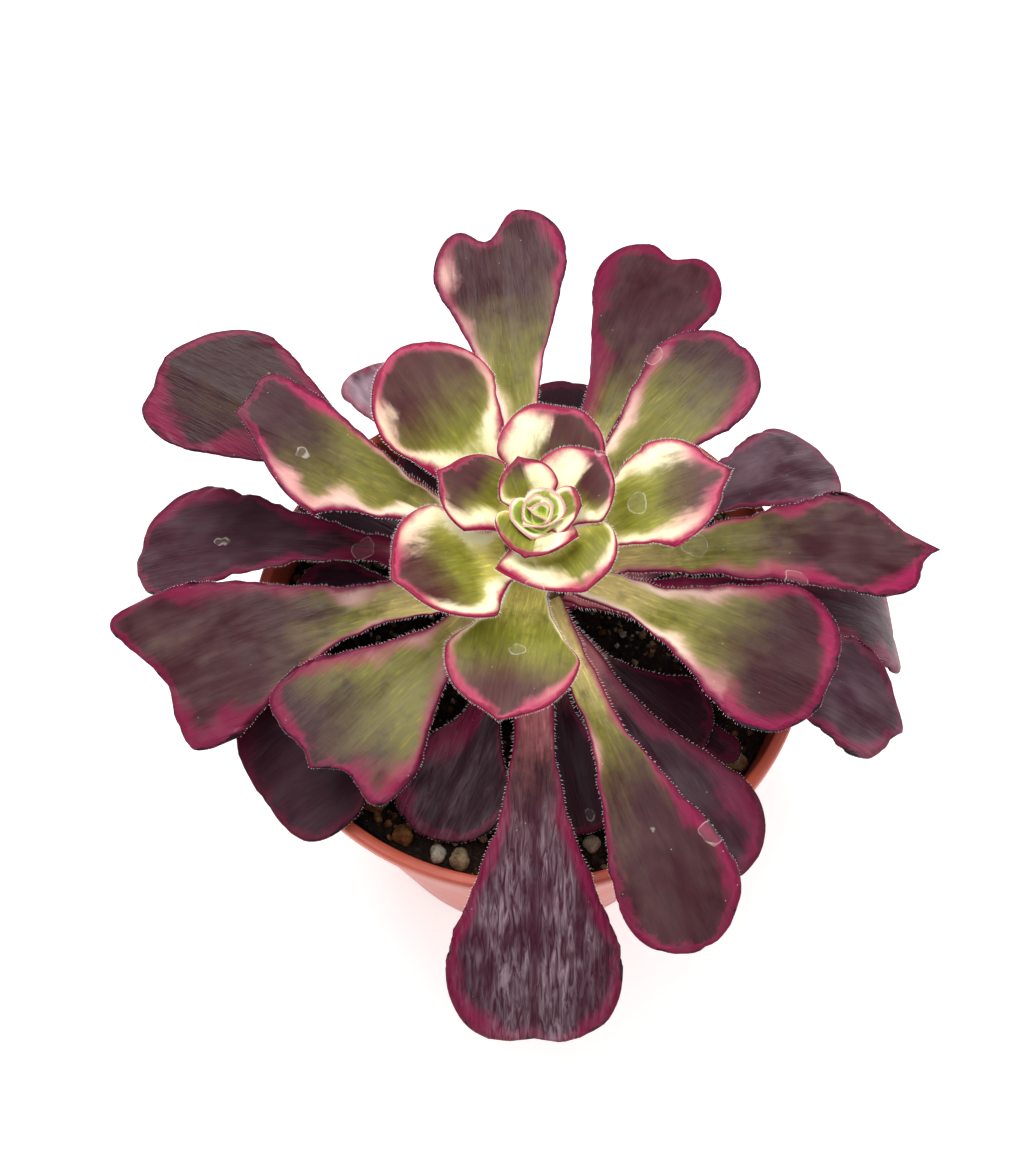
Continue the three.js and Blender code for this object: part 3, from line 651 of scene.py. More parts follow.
LEAVES = [
    describe(3, 14, 18, 21, 47, droop=-28, neck=0.5, flare=0, point=0.05, mucro=0.7, cup=0.4, ripple=0.15,
             band=((3, 6.5, 6, 2.5), (2.5, 3.5, 2, 1)), tip=1.1, cream=((1, 0.8), (1, 0.4)), green=0.5,
             blush=0.85),
    describe(4, -11, 21, 20, 41, droop=-26, neck=0.45, flare=0, point=0.06, mucro=0.8, cup=0.35,
             ripple=0.15, band=((3, 5, 4.5, 2), (0.8, 1, 1, 1)), tip=0.9, cream=((1, 0.75), (0.3, 0)),
             green=0.6, blush=0.85),
    describe(5, -6, 17, 27, 42, droop=-40, lift=2, neck=0.65, flare=0, point=0.03, slant=0.15, mucro=0.8,
             cup=0.55, ripple=0.15, band=((3.5, 4, 4, 3), (3.5, 4, 4, 3)), tip=1.2,
             cream=((1, 0.8), (1, 0.7)), green=1, blush=0.85),
    describe(6, -1, 27, 25, 46, droop=-26, neck=0.45, flare=0, notch=0.04, cup=0.35, ripple=0.25,
             band=((3, 7, 6, 2.2), (1.2, 1.4, 1.6, 1.6)), tip=1.5, cream=((1, 0.8), (0.4, 0.1)), green=0.5,
             blush=0.75),
    describe(7, -12, 30, 32, 36, neck=0.42, flare=0, point=0.04, mucro=0.6, cup=0.3, ripple=0.25,
             band=((1.5, 2.2, 2.6, 2.2), (3, 4, 4.5, 3.5)), tip=1.5, cream=((1, 0.8), (1, 0.6)), green=0.68,
             blush=0.75),
    describe(8, 17, 38, 27, 36, neck=0.4, flare=0, point=0.06, mucro=1, cup=0.25, ripple=0.45,
             band=((3, 4.5, 4, 2.5), (1.5, 2.5, 3, 3)), tip=1.3, cream=((1, 0.7), (1, 0.3)), green=0.72,
             blush=0.8),
    describe(9, -4, 49, 31, 41, neck=0.36, flare=0, point=0.02, cup=0.25, ripple=0.35,
             band=((4, 6, 5, 2.5), (3, 4, 2.5, 2.5)), tip=1.5, cream=((1, 0.6), (1, 0.4)), green=0.64,
             blush=0.75),
    describe(10, -12, 36, 30, 16, droop=-15, neck=0.32, flare=0.05, point=0.02, mucro=0.8, cup=0.2,
             ripple=0.35, band=((0.5, 0.6, 0.8, 3), (0.5, 0.8, 1.2, 3.5)), tip=0.4,
             cream=((1, 0.1), (1, 0)), green=0.68, blush=0.7),
    describe(11, -6, 62, 28, 30, neck=0.3, flare=0.1, cup=0.2, ripple=0.5,
             band=((0.8, 1.2, 3, 4), (2, 2, 2, 3)), tip=2.5, cream=((0.6, 0.1), (0.8, 0)), green=0.74,
             blush=0.45),
    describe(12, -23, 66, 28, 28, swing=-12, neck=0.28, flare=0.2, square=2.2, point=0.05, slant=-0.8,
             mucro=1.5, ripple=0.6, band=((2.5, 4.5, 4.5, 3), (1, 1, 1.2, 3)), tip=0.4,
             cream=((1, 0.35), (0.8, 0)), green=0.76, blush=0.65),
    describe(13, 10, 65, 38, 6, droop=-10, lift=0.4, flare=0.2, apex=0.4, square=2.4, wave=0.8, ripple=0.55,
             band=((1, 1.8, 3.5, 4), (1.2, 2, 4, 4)), tip=2.5, cream=((0.6, 0), (0.8, 0)), green=0.64),
    describe(14, -5, 88, 34, 20.5, flare=0.25, notch=0.1, notchAt=0.15, slant=-0.2,
             band=((0.8, 1.4, 3.2, 3), (0.5, 0.8, 1.4, 3)), tip=0.5, cream=((0.6, 0.2), (0.2, 0)),
             green=0.6, sheen=0.2),
    describe(15, -15, 61, 39, 3, droop=-15, flare=0.25, apex=0.3, square=5, point=0.05, notch=0.06,
             notchAt=0.35, hollow=0.5, mucro=0.8, ripple=0.55, band=((1.5, 2.2, 4, 3), (1.2, 2.2, 4, 4)),
             tip=0, cream=((0.1, 0), (0.15, 0)), green=0.78, blush=0.3, shade=0.9),
    describe(16, -10, 86, 28, 3.5, neck=0.3, flare=0.12, point=0.06, slant=-0.3, mucro=2, wave=1,
             ripple=0.8, band=((0.5, 0.9, 2.8, 0.3), (0.6, 2.4, 4.2, 3.4)), tip=0.8,
             cream=((0.1, 0), (0.1, 0)), green=0.55, blush=0.5, sheen=0.25),
    describe(17, -3.4, 99.5, 38, 16.5, notch=0.03, notchAt=0.4, slant=0.12,
             band=((0.3, 2.4, 7.5, 5), (0.3, 1.4, 3, 2.2)), tip=0.8, green=0.52, blush=0.3, shade=0.8,
             sheen=0.04),
    describe(18, -1, 88, 28, 8, droop=-35, swing=8, wave=0.8, ripple=0.5,
             band=((0.8, 1.3, 2.2, 3.4), (0.7, 0.9, 1.1, 1)), tip=0.5, cream=((0.05, 0), (0.1, 0)),
             green=0.5, blush=0.25, shade=1.1),
    describe(19, -1, 95, 33, 16, droop=-25, notch=0.05, band=((0.2, 2.8, 5.2, 3.4), (0.2, 0.2, 1.8, 4.6)),
             tip=1.8, green=0.48, blush=0.12, shade=1.08),
    describe(20, -18.5, 91, 46, -3, swing=11, apex=0.3, square=7, notch=0.05, hollow=0.55, slant=-0.55,
             ripple=0.5, band=((0.6, 0.9, 2.4, 6.5), (1.2, 2.8, 4.2, 2.6)), tip=0,
             cream=((0.1, 0), (0.15, 0)), green=0.46, blush=0.15, sheen=0.2),
    describe(21, 1, 92, 30, -3, droop=-37, point=0.04, mucro=1.5, wave=1.2, ripple=0.8, crepe=0.15,
             band=((0.6, 0.8, 0.8, 1.2), (0.6, 0.8, 1, 3.4)), tip=0.4, green=0.5, blush=0.35, shade=1.15,
             sheen=0.15),
    describe(22, 2, 78, 18, 4, droop=-25, green=0.1, shade=1.3, sheen=0.6),
    describe(23, 11, 103, 40, 0, droop=-52, bend=1.6, square=2.3, notch=0.015, ripple=0.5, crepe=0.35,
             band=((0.5, 1.5, 3, 2.4), (0.5, 1.4, 2.2, 4.2)), green=0.4, blush=0.25, shade=1.2, sheen=0.38,
             wrinkled=1),
    describe(24, -4, 91, 27, 1, droop=-34, ripple=0.6, green=0.15, shade=1.1, sheen=0.2),
    describe(25, -10, 101, 32, 7, droop=-40, swing=12, ripple=0.8, crepe=0.15,
             band=((5, 4.5, 1, 0.4), (4, 3.5, 1.6, 4.5)), tip=0.4, green=0, sheen=0.08),
    describe(26, -5, 75, 28, -7, droop=-12, band=((1, 2, 6, 6), (1, 1.5, 2, 2)), green=0, blush=0.45,
             shade=0.8, sheen=0.15),
    describe(28, -11, 73, 40, -4, droop=-16, apex=0.35, square=3, band=((1, 1.2, 2, 2.2), (1, 1.2, 3, 4)),
             tip=0.2, green=0, blush=0.02, shade=0.7, sheen=0.06),
    describe(29, 0, 103, 30, -2, droop=-72, bend=2.5, point=0.04, mucro=2, ripple=0.6,
             band=((3, 4, 6, 6), (3, 4, 6, 6)), tip=4, green=0.1, blush=0.3, shade=1.25, sheen=0.02),
    describe(36, 0, 53, 31, -6, droop=-6, crepe=0.35, band=((1, 1, 1.2, 1.2), (2, 5, 7.5, 5)), green=0,
             blush=0.6, shade=0.9, sheen=0.35, wrinkled=0.7),
    describe(37, -3, 99, 18, 4.1, droop=-56, bend=2.8, green=0.1, shade=0.8, sheen=0.2),
]

# Leaves that lie low under the others: place, turn, length, width, pitch, droop and green. All are darkened
# to shade 0.75, painted shade from the leaves above, and get almost no painted sheen.
LOW_LEAVES = [
    (27, -8, 66, 26, -6, -10, 0.1), (30, 7, 62, 20, -4, -8, 0), (31, 5, 50, 22, -10, -8, 0.1),
    (32, 0, 62, 26, -2, -8, 0.1), (33, -21, 54, 22, -6, -6, 0), (34, -10, 46, 24, -8, -6, 0),
    (35, 8, 54, 26, 0, -6, 0.1), (39, -8, 36, 18, -2, -8, 0), (40, 0, 52, 26, 0, -8, 0),
    (42, -26, 54, 8, 0, -4, 0),
]
LEAVES += [describe(*place, droop=droop, green=green, shade=0.75, sheen=0.03)
           for *place, droop, green in LOW_LEAVES]
LEAVES.sort(key=lambda leaf: leaf.index)

MIDRIB_STEPS, MIDRIB_REACH = 96, 1.15       # the midrib runs on past the tip, by this share of length
ROUNDING = 0.45                             # how far in from the margin the leaf's edge is rounded
BAND_PLACES = (0.08, 0.35, 0.65, 0.92)      # shares of the length at which band gives its widths
HAIR_RADIUS, HAIR_SUNK = 0.06, 0.12
# Spacing and length of the hairs in millimetres, and the share of that length that is left at the tip.
HAIRS = {"bud": (0.35, 0.4, 0.6), "wrap": (0.4, 0.5, 0.6), "inner": (0.4, 0.85, 0.6),
         "middle": (0.75, 1.0, 0.12), "outer": (0.75, 1.0, 0.12)}


def attached_at(index):
    """Height at which a leaf leaves the stem. The young ones crowd towards the top."""
    return FIRST_HEIGHT - LEAF_STEP * index + CROWDING * smooth((9 - index) / 7)


def midrib_of(leaf):
    """Points and frames along the midrib. Its slope is pitch + droop t^bend and its heading azimuth +
    swing t^1.5; the points add up half-sums of its directions, each a step of the length."""
    height = float(attached_at(leaf.index)) + leaf.lift
    azimuth = math.radians(FIRST_AZIMUTH + GOLDEN_ANGLE * leaf.index + leaf.turn)
    pitch = math.radians(leaf.pitch)
    root = leaf.root
    if root is None:
        root = float(stem_radius(height)) + GAP + leaf.thick * max(0.0, math.sin(-pitch))
    t = np.linspace(0, MIDRIB_REACH, MIDRIB_STEPS + 1)
    turn = azimuth + math.radians(leaf.swing) * t ** 1.5
    slope = pitch + math.radians(leaf.droop) * t ** leaf.bend
    along = np.stack([np.cos(slope) * np.cos(turn), np.cos(slope) * np.sin(turn), np.sin(slope)], 1)
    across = np.stack([-np.sin(turn), np.cos(turn), 0 * turn], 1)
    step = leaf.length * MIDRIB_REACH / MIDRIB_STEPS
    start = np.array([root * math.cos(azimuth) + stem_drift(height), root * math.sin(azimuth), height])
    points = start + np.concatenate([np.zeros((1, 3)), np.cumsum((along[1:] + along[:-1]) / 2 * step, 0)])
    return t, points, along, across, np.cross(along, across)


def outline(leaf, t, v):
    """Place along the midrib, as a share of the length, and millimetres across it, of point (t, v).
    The end is a superellipse with a point, notches and a slant; slow waves roughen the margin."""
    bluntness = leaf.width * leaf.apex / leaf.length
    rounding = min(3.0, 0.8 / bluntness)
    end = 1 - (1 - np.abs(v) ** leaf.square).clip(0, 1) ** (1 / leaf.square)
    pull = leaf.point * np.exp(-(v / 0.22) ** 2)
    pull = pull - leaf.notch * np.exp(-((v - leaf.notchAt) / leaf.hollow) ** 2)
    pull = pull + leaf.mucro / leaf.length * np.exp(-np.abs(v) / 0.05)
    s = t - bluntness * t ** rounding * end + pull * t ** 8 + leaf.slant * bluntness * v * t ** 4
    spread = lerp(leaf.neck, 1, smooth((t - leaf.flare) / (1 - leaf.flare)))
    half = leaf.width / 2 * spread
    rough = 0.8 * leaf.ripple
    sideways = waves(t * leaf.length / 3 + 40 * (v > 0), leaf.index + 11, 4)
    x = half * v + rough * np.abs(v) ** 3 * sideways
    s = s + rough * t ** 8 * waves(v * leaf.width / 5, leaf.index + 57, 4) / leaf.length
    return s, x, half


def margin(sides, count):
    """(t, v) up the right side, round the tip in count points and down the left side."""
    ends = np.sin(np.linspace(-1, 1, count) * math.pi / 2)
    t = np.concatenate([sides, np.ones_like(ends), sides[::-1]])
    v = np.concatenate([np.full_like(sides, -1.0), ends, np.full_like(sides, 1.0)])
    return t, v


def distance_to_edge(leaf, s, x):
    """Shortest distance in the leaf's own plane from each point to its outline, without the base."""
    edge_s, edge_x, _ = outline(leaf, *margin(np.linspace(0, 1, 120), 90))
    line = np.stack([edge_s * leaf.length, edge_x], 1)
    first, step = line[:-1], line[1:] - line[:-1]
    keep = (step ** 2).sum(1) > 1e-9
    first, step = first[keep], step[keep]
    place = np.stack([s.ravel() * leaf.length, x.ravel()], 1)[:, None, :] - first[None]
    share = ((place * step).sum(-1) / (step ** 2).sum(-1)).clip(0, 1)
    gap = np.sqrt(((place - share[..., None] * step) ** 2).sum(-1)).min(1)
    return gap.reshape(s.shape)


def leaf_place(leaf, midrib, s, x, half, t, v, edge, share):
    """The point in space. share is 0 on the upper face, 1 on the lower one and 0.5 at mid-thickness.
    Height is the cup, the ruffles and a fold along the midrib; thickness narrows to the margin, where
    a quarter round closes it."""
    cup = lerp(leaf.cup, leaf.cup * 0.3, t)
    ruffle = leaf.wave * np.sin(9 * t + 2 * v + leaf.index) * v * v * t
    small = waves(t * leaf.length / 5 + 30 * (v > 0), leaf.index + 91, 4)
    fringe = leaf.ripple * v ** 4 * t * small
    crepe = leaf.crepe * waves(x / 2.2 + np.sin(s * leaf.length / 13), leaf.index + 5, 3)
    crepe = crepe * smooth((s - 0.3) * 3) * smooth(edge / 3)
    fold = -0.3 * np.exp(-(x / 1.1) ** 2) * smooth((t - 0.15) * 3) * min(1.0, leaf.length / 60)
    middle = lerp(leaf.thick, leaf.thick * 0.4, t)
    depth = lerp(middle, LEAF_EDGE, v * v)
    close = np.sqrt(1 - (1 - np.clip(edge / ROUNDING, 0, 1)) ** 2)
    top = -LEAF_EDGE / 2 * (1 - close) + fold * (1 - share)
    bottom = -LEAF_EDGE / 2 - (depth - LEAF_EDGE / 2) * close
    z = cup * np.abs(x) ** 1.5 / np.sqrt(half) + ruffle + fringe + crepe + lerp(top, bottom, share)
    places, points, _, across, up = midrib
    place = at_place(places, points, s.clip(0, MIDRIB_REACH))
    return place + at_place(places, across, s) * x[..., None] + at_place(places, up, s) * z[..., None]


def pattern_of(leaf, s, x, t, v, edge):
    """Values for the leaf's colours on one face: see leaf_skin_group. Band widths run straight between
    BAND_PLACES and are blended from side to side across the middle."""
    index = leaf.index
    left = smooth(v * 1.6 + 0.5)
    slow = waves(s * leaf.length / 6 + 25 * (v > 0), index + 131, 3)
    sides = [np.interp(t, BAND_PLACES, widths) for widths in leaf.band]
    width = lerp(sides[1], sides[0], left) * (1 + 0.75 * slow).clip(0.3)
    width = lerp(width, leaf.tip, smooth((t - 0.8) / 0.2) * np.exp(-(v / 0.45) ** 2))
    fade = smooth((s - 0.35) / 0.4)
    sides = [lerp(base, tip, fade) for base, tip in leaf.cream]
    cream = lerp(sides[1], sides[0], left)
    cream = (cream + 0.25 * slow * (cream > 0.05)) * (1 - smooth((s - 0.78) / 0.16))
    green = 1 - smooth((s - leaf.green + 0.3) / 0.55) + 0.1 * waves(v * 2 + 3 * s, index + 17, 3)
    start = 100.0 * (index + 10)
    blade = np.stack([x, s * leaf.length + start, s], -1)
    place = (edge / np.maximum(width, 0.15)).clip(0, 5)
    tint = np.stack([place, cream.clip(0, 1), green.clip(-0.2, 1)], -1)
    blush = leaf.blush * (1 + 0.35 * slow)
    tone = np.stack([np.full_like(x, value) for value in (leaf.shade, leaf.sheen, leaf.wrinkled)], -1)
    return blade, tint, blush.clip(0, 1), tone


def leaf_surface(leaf, rows, columns):
    """The upper and lower faces as one closed sheet that shares its margin, with a cap at the base."""
    midrib = midrib_of(leaf)
    u, w = np.meshgrid(np.linspace(0, 1, rows + 1), np.linspace(0, 1, columns + 1), indexing="ij")
    t = 1 - (1 - u) ** 1.5
    v = np.sin((w - 0.5) * math.pi)
    s, x, half = outline(leaf, t, v)
    edge = distance_to_edge(leaf, s, x)
    edge[:, 0] = edge[:, -1] = edge[-1, :] = 0
    sheets = [leaf_place(leaf, midrib, s, x, half, t, v, edge, share) for share in (0.0, 1.0)]
    blade, tint, blush, tone = pattern_of(leaf, s, x, t, v, edge)
    count = (rows + 1) * (columns + 1)
    top = np.arange(count).reshape(rows + 1, columns + 1)
    bottom = top + count
    bottom[:, 0], bottom[:, -1], bottom[-1, :] = top[:, 0], top[:, -1], top[-1, :]
    quads = grid_faces(rows, columns)
    base = np.stack([top[0, :-1], top[0, 1:], bottom[0, 1:], bottom[0, :-1]], 1)
    faces = np.concatenate([quads[:, ::-1], bottom.ravel()[quads], base])
    points = np.concatenate([sheet.reshape(-1, 3) for sheet in sheets])
    used = np.unique(faces)
    renumber = np.full(len(points), -1)
    renumber[used] = np.arange(len(used))
    under = np.repeat([0.0, 1.0], count)

    def both(value):
        return np.concatenate([value.reshape(count, -1)] * 2)[used]
    rim = np.stack([both(edge)[:, 0], under[used], both(blush)[:, 0]], 1)
    values = {"blade": both(blade), "tint": both(tint), "rim": rim, "tone": both(tone)}
    faces = [list(dict.fromkeys(face)) for face in renumber[faces].tolist()]
    return points[used], [face for face in faces if len(face) > 2], values


def hairs_of(leaf, kind, seed):
    """Fine hairs along the margin: slim three-sided spikes, sunk a little into the edge, that point out
    and slightly towards the tip, each with its own length and lean."""
    spacing, length, tip_share = HAIRS[kind]
    draw = np.random.default_rng(seed % 1000)
    midrib = midrib_of(leaf)
    t, v = margin(np.linspace(0.03, 1, 400), 300)
    s, x, half = outline(leaf, t, v)
    line = leaf_place(leaf, midrib, s, x, half, t, v, np.zeros_like(t), 0.5)
    run = np.concatenate([[0], np.cumsum(np.linalg.norm(np.diff(line, axis=0), axis=1))])
    count = max(8, int(run[-1] / spacing))
    at = (np.arange(count) + draw.uniform(-0.35, 0.35, count)).clip(0) * run[-1] / count
    foot = at_place(run, line, at)
    ahead = at_place(run, line, at + 0.3) - at_place(run, line, at - 0.3)
    ahead /= np.linalg.norm(ahead, axis=1, keepdims=True) + 1e-9
    places = np.interp(at, run, s)
    known, middle, forward, _, upward = midrib
    up = at_place(known, upward, places)
    along = at_place(known, forward, places)
    out = np.cross(up, ahead)
    outward = foot - at_place(known, middle, places * 0.9)
    out *= np.sign((out * outward).sum(1, keepdims=True))
    point = out + 0.5 * along + draw.normal(0, 0.22, (count, 3)) + 0.15 * up
    point /= np.linalg.norm(point, axis=1, keepdims=True)
    size = length * draw.uniform(0.55, 1.15, count) * lerp(1.15, tip_share, places.clip(0, 1))
    right = np.cross(point, up)
    right /= np.linalg.norm(right, axis=1, keepdims=True) + 1e-9
    other = np.cross(point, right)
    corners = [foot - HAIR_SUNK * point + HAIR_RADIUS * (math.cos(turn) * right + math.sin(turn) * other)
               for turn in (0, TURN / 3, 2 * TURN / 3)]
    points = np.stack([*corners, foot + size[:, None] * point], 1).reshape(-1, 3)
    first = np.arange(count)[:, None] * 4
    faces = np.concatenate([first + [0, 1, 3], first + [1, 2, 3], first + [2, 0, 3], first + [0, 2, 1]])
    reach = np.tile([0.0, 0.0, 0.0, 1.0], count)
    return points, faces.tolist(), {"reach": reach}


def make_leaves():
    """Every leaf as its own piece, then the hairs of each kind of leaf as one."""
    hairs = {"inner": [], "middle": [], "outer": []}
    for leaf in LEAVES:
        rows = int(np.clip(leaf.length * 0.75, 26, 68))
        columns = int(np.clip(leaf.width * 1.1, 18, 34))
        points, faces, values = leaf_surface(leaf, rows, columns)
        kind = "inner" if leaf.index < 11 else "middle" if leaf.index < 21 else "outer"
        name = f"leaf_{leaf.index:02d}"
        make_piece(f"{name}_blade", points, faces, LEAF_FINISH[kind], [name], values)
        hairs[kind].append(hairs_of(leaf, kind, 900 + leaf.index))
    for kind, parts in hairs.items():
        make_joined(f"hairs_{kind}", parts, HAIR)


def make_crown():
    """A low dome, seven small cupped leaves that close over it, and the three that wrap them."""
    profile = np.array([
        [0, 0], [4.1, 0], [4.1, 1.5], [3.9, 3.2], [3.6, 4.4], [2.4, 6], [1.2, 6.6], [0, 6.8]])
    points, faces, _ = weld(*turned(profile, 32))
    points = points + [stem_drift(BUD_BASE + 4), 0, BUD_BASE]
    plain = np.zeros((len(points), 3))
    parts = [(points, faces, {"blade": plain, "tint": plain + [3, 0, 1], "rim": plain + [5, 0, 1],
                              "tone": plain + [1, 0, 0]})]
    hairs = []
    for index in range(1, BUD_LEAVES + 1):
        share = index / BUD_LEAVES
        leaf = describe(
            -index, 0, lerp(7.5, 4, share), lerp(12.5, 4, share), lerp(58, 88, share), droop=-10,
            root=lerp(3.2, 0.6, share), lift=lerp(-1, -6, share), neck=0.8, flare=0, apex=0.35, cup=0.9,
            thick=0.8, band=((0.8, 0.8, 0.8, 0.8),) * 2, cream=((1, 1), (1, 1)), green=1.2, ripple=0.04,
            blush=1)
        parts.append(leaf_surface(leaf, 16, 16))
        hairs.append(hairs_of(leaf, "bud", 700 + index))
    wraps = [leaf_surface(leaf, 24, 24) for leaf in CROWN_LEAVES]
    hairs += [hairs_of(leaf, "wrap", 720 + leaf.index) for leaf in CROWN_LEAVES]
    make_joined("bud_heart", parts, LEAF_FINISH["bud"], ["crown"])
    make_joined("bud_wraps", wraps, LEAF_FINISH["inner"], ["crown"])
    make_joined("hairs_bud", hairs, HAIR)


# ---- pot ----


def rounded(profile, radius, steps=5):
    """The same line with each inner corner replaced by a curve: a quadratic from a point before it to
    one after it, each at most radius away."""
    line = [profile[0]]
    for before, corner, after in zip(profile, profile[1:], profile[2:]):
        before, corner, after = (np.array(point, dtype=float) for point in (before, corner, after))
        reach = min(radius, np.linalg.norm(before - corner) / 2.2, np.linalg.norm(after - corner) / 2.2)
        start = corner + (before - corner) / np.linalg.norm(before - corner) * reach
        end = corner + (after - corner) / np.linalg.norm(after - corner) * reach
        for t in np.linspace(0, 1, steps):
            line.append((1 - t) ** 2 * start + 2 * t * (1 - t) * corner + t * t * end)
    line.append(profile[-1])
    return np.array(line)


def pierced_ring(inner, outer, height, sides, layers=5):
    """A flat ring with the drain holes in it. Each sixth of it is spun round its hole: rays run from the
    hole's circle to the points of the sector's border, which match the turned surfaces beside it."""
    middle = (HUB_RADIUS + BASE_RADIUS - FOOT_WIDTH) / 2
    per = sides // DRAIN_COUNT
    arc = (np.arange(per + 1) / per - 0.5) * TURN / DRAIN_COUNT
    radii = np.linspace(outer, inner, 13)
    border = np.concatenate([
        np.stack([np.full(per, outer), arc[:-1]], 1), np.stack([radii[:-1], np.full(12, arc[-1])], 1),
        np.stack([np.full(per, inner), arc[:0:-1]], 1), np.stack([radii[:0:-1], np.full(12, arc[0])], 1)])
    border = np.stack([border[:, 0] * np.cos(border[:, 1]), border[:, 0] * np.sin(border[:, 1])], 1)
    toward = border - [middle, 0]
    rim = [middle, 0] + DRAIN_RADIUS * toward / np.linalg.norm(toward, axis=1, keepdims=True)
    flat = np.concatenate([lerp(rim, border, layer / layers) for layer in range(layers + 1)])
    faces = grid_faces(layers, len(border), wrap=True)
    sectors = [np.c_[spun(flat, turn), np.full(len(flat), height)] for turn in DRAIN_TURNS]
    return [(sector, faces) for sector in sectors], rim


def make_pot():
    """The turned wall and lip, the two pierced rings of the raised floor, and the holes' walls."""
    sides = 192
    foot = BASE_RADIUS - FOOT_WIDTH
    under = POT_HEIGHT - LIP_HEIGHT
    outside = rounded([
        [foot - 1.5, RECESS], [foot, 0], [BASE_RADIUS - 1, 0], [BASE_RADIUS, 1],
        [float(wall_inside(under)) + WALL, under], [RIM_RADIUS - 0.3, under],
        [RIM_RADIUS, under + 0.5], [RIM_RADIUS, POT_HEIGHT - 0.9], [RIM_RADIUS - 0.5, POT_HEIGHT - 0.1],
        [RIM_RADIUS - 1.1, POT_HEIGHT], [INNER_RIM + 0.9, POT_HEIGHT - 0.05],
        [INNER_RIM + 0.3, POT_HEIGHT - 0.3], [INNER_RIM, POT_HEIGHT - 1.2], [INNER_BASE, FLOOR],
        [foot - 0.5, FLOOR], [foot - 2, FLOOR + RECESS]], 0.5)
    # Extra rings along the long walls, so that they can be a fraction of a millimetre out of true.
    fine = [outside[0]]
    for before, after in zip(outside, outside[1:]):
        parts = max(1, int(np.linalg.norm(after - before) / 8))
        fine += [lerp(before, after, part / parts) for part in range(1, parts + 1)]
    outside = np.array(fine)
    top_hub = rounded([[HUB_RADIUS + 2, FLOOR + RECESS], [HUB_RADIUS + 0.5, FLOOR], [0, FLOOR]], 0.4)
    low_hub = rounded([[0, 0], [HUB_RADIUS, 0], [HUB_RADIUS + 1.5, RECESS]], 0.4)
    low, low_rim = pierced_ring(HUB_RADIUS + 1.5, foot - 1.5, RECESS, sides)
    high, high_rim = pierced_ring(HUB_RADIUS + 2, foot - 2, FLOOR + RECESS, sides)
    groups = [turned(line, sides) for line in (outside, top_hub, low_hub)] + low + high
    count = len(low_rim)
    for turn in DRAIN_TURNS:
        tube = np.concatenate([np.c_[spun(low_rim, turn), np.full(count, RECESS)],
                               np.c_[spun(high_rim, turn), np.full(count, FLOOR + RECESS)]])
        groups.append((tube, grid_faces(1, count, wrap=True)))
    points, faces, _ = joined([(*group, {}) for group in groups])
    points, faces, _ = weld(points, np.array(faces))
    # The thin wall is a touch out of round, more towards the rim.
    angle = np.arctan2(points[:, 1], points[:, 0])
    high_up = (points[:, 2] / POT_HEIGHT).clip(0, 1) ** 2
    swell = 1 + high_up * (0.0022 * np.sin(2 * angle + 0.6) + 0.0009 * np.sin(3 * angle + 2.1))
    points[:, :2] *= swell[:, None]
    pot = make_piece("nursery_pot", points, faces, pot_material(), ["pot"])
    turn_outwards(pot)
    sharpen(pot, 55)


# ---- soil, grit and stones ----

# [x, y, radius, flatness, lot], as the solids have them; lot is the stone's kind, 0.4 brown to 1 white.
STONES = [
    [-46.5, 26.6, 3.4, 0.8, 0.72], [-40.0, 30.5, 2.6, 0.85, 0.66], [-38.0, 23.0, 2.3, 0.9, 0.76],
    [-38.5, -44.5, 2.9, 0.75, 0.44], [-31.5, -52.5, 2.6, 0.8, 0.5], [-22.8, -57.5, 2.2, 0.9, 0.95],
    [-17.8, -59.0, 2.7, 0.85, 0.82], [13.9, -55.9, 2.3, 0.8, 0.88], [49.8, -36.1, 2.6, 0.8, 0.62],
    [48.9, 24.1, 3.0, 0.8, 0.68], [22.0, 57.5, 2.7, 0.85, 0.8],
]


def ball_grid(rows, columns):
    """Unit directions over a ball, from pole to pole, with its faces."""
    polar, angle = np.meshgrid(np.linspace(0, math.pi, rows + 1), np.arange(columns) * TURN / columns,
                               indexing="ij")
    points = round_z(np.sin(polar), angle, np.cos(polar)).reshape(-1, 3)
    points, faces, _ = weld(points, grid_faces(rows, columns, wrap=True))
    return points, faces


def make_stones(material):
    """Each stone is a lumpy ball: radius times 1 plus slow sines of its direction, pressed flat, with
    finer pits on top."""
    ball, faces = ball_grid(30, 44)
    a, b, c = ball.T
    for number, (x, y, radius, flatness, lot) in enumerate(STONES, 1):
        lump = 1 + 0.13 * np.sin(3.1 * a + x) + 0.11 * np.sin(3.7 * b - 2 * c + y)
        pits = 0.035 * np.sin(9 * a + y) * np.sin(8 * b + x) + 0.02 * np.sin(17 * c + 3 * a)
        points = ball * (radius * (lump + pits))[:, None] * [1, 0.88, flatness]
        points += [x, y, float(soil_height(x, y)) + 0.35 * radius]
        name = f"stone_{number:02d}"
        lots = {"lot": np.full(len(points), lot)}
        turn_outwards(make_piece(f"{name}_grain", points, faces, material, [name], lots))


def scattered(draw, inner, outer, count):
    """Places strewn evenly over the ring between two radii."""
    radius = np.sqrt(draw.uniform(inner ** 2, outer ** 2, count))
    heading = draw.uniform(0, TURN, count)
    return radius * np.cos(heading), radius * np.sin(heading)


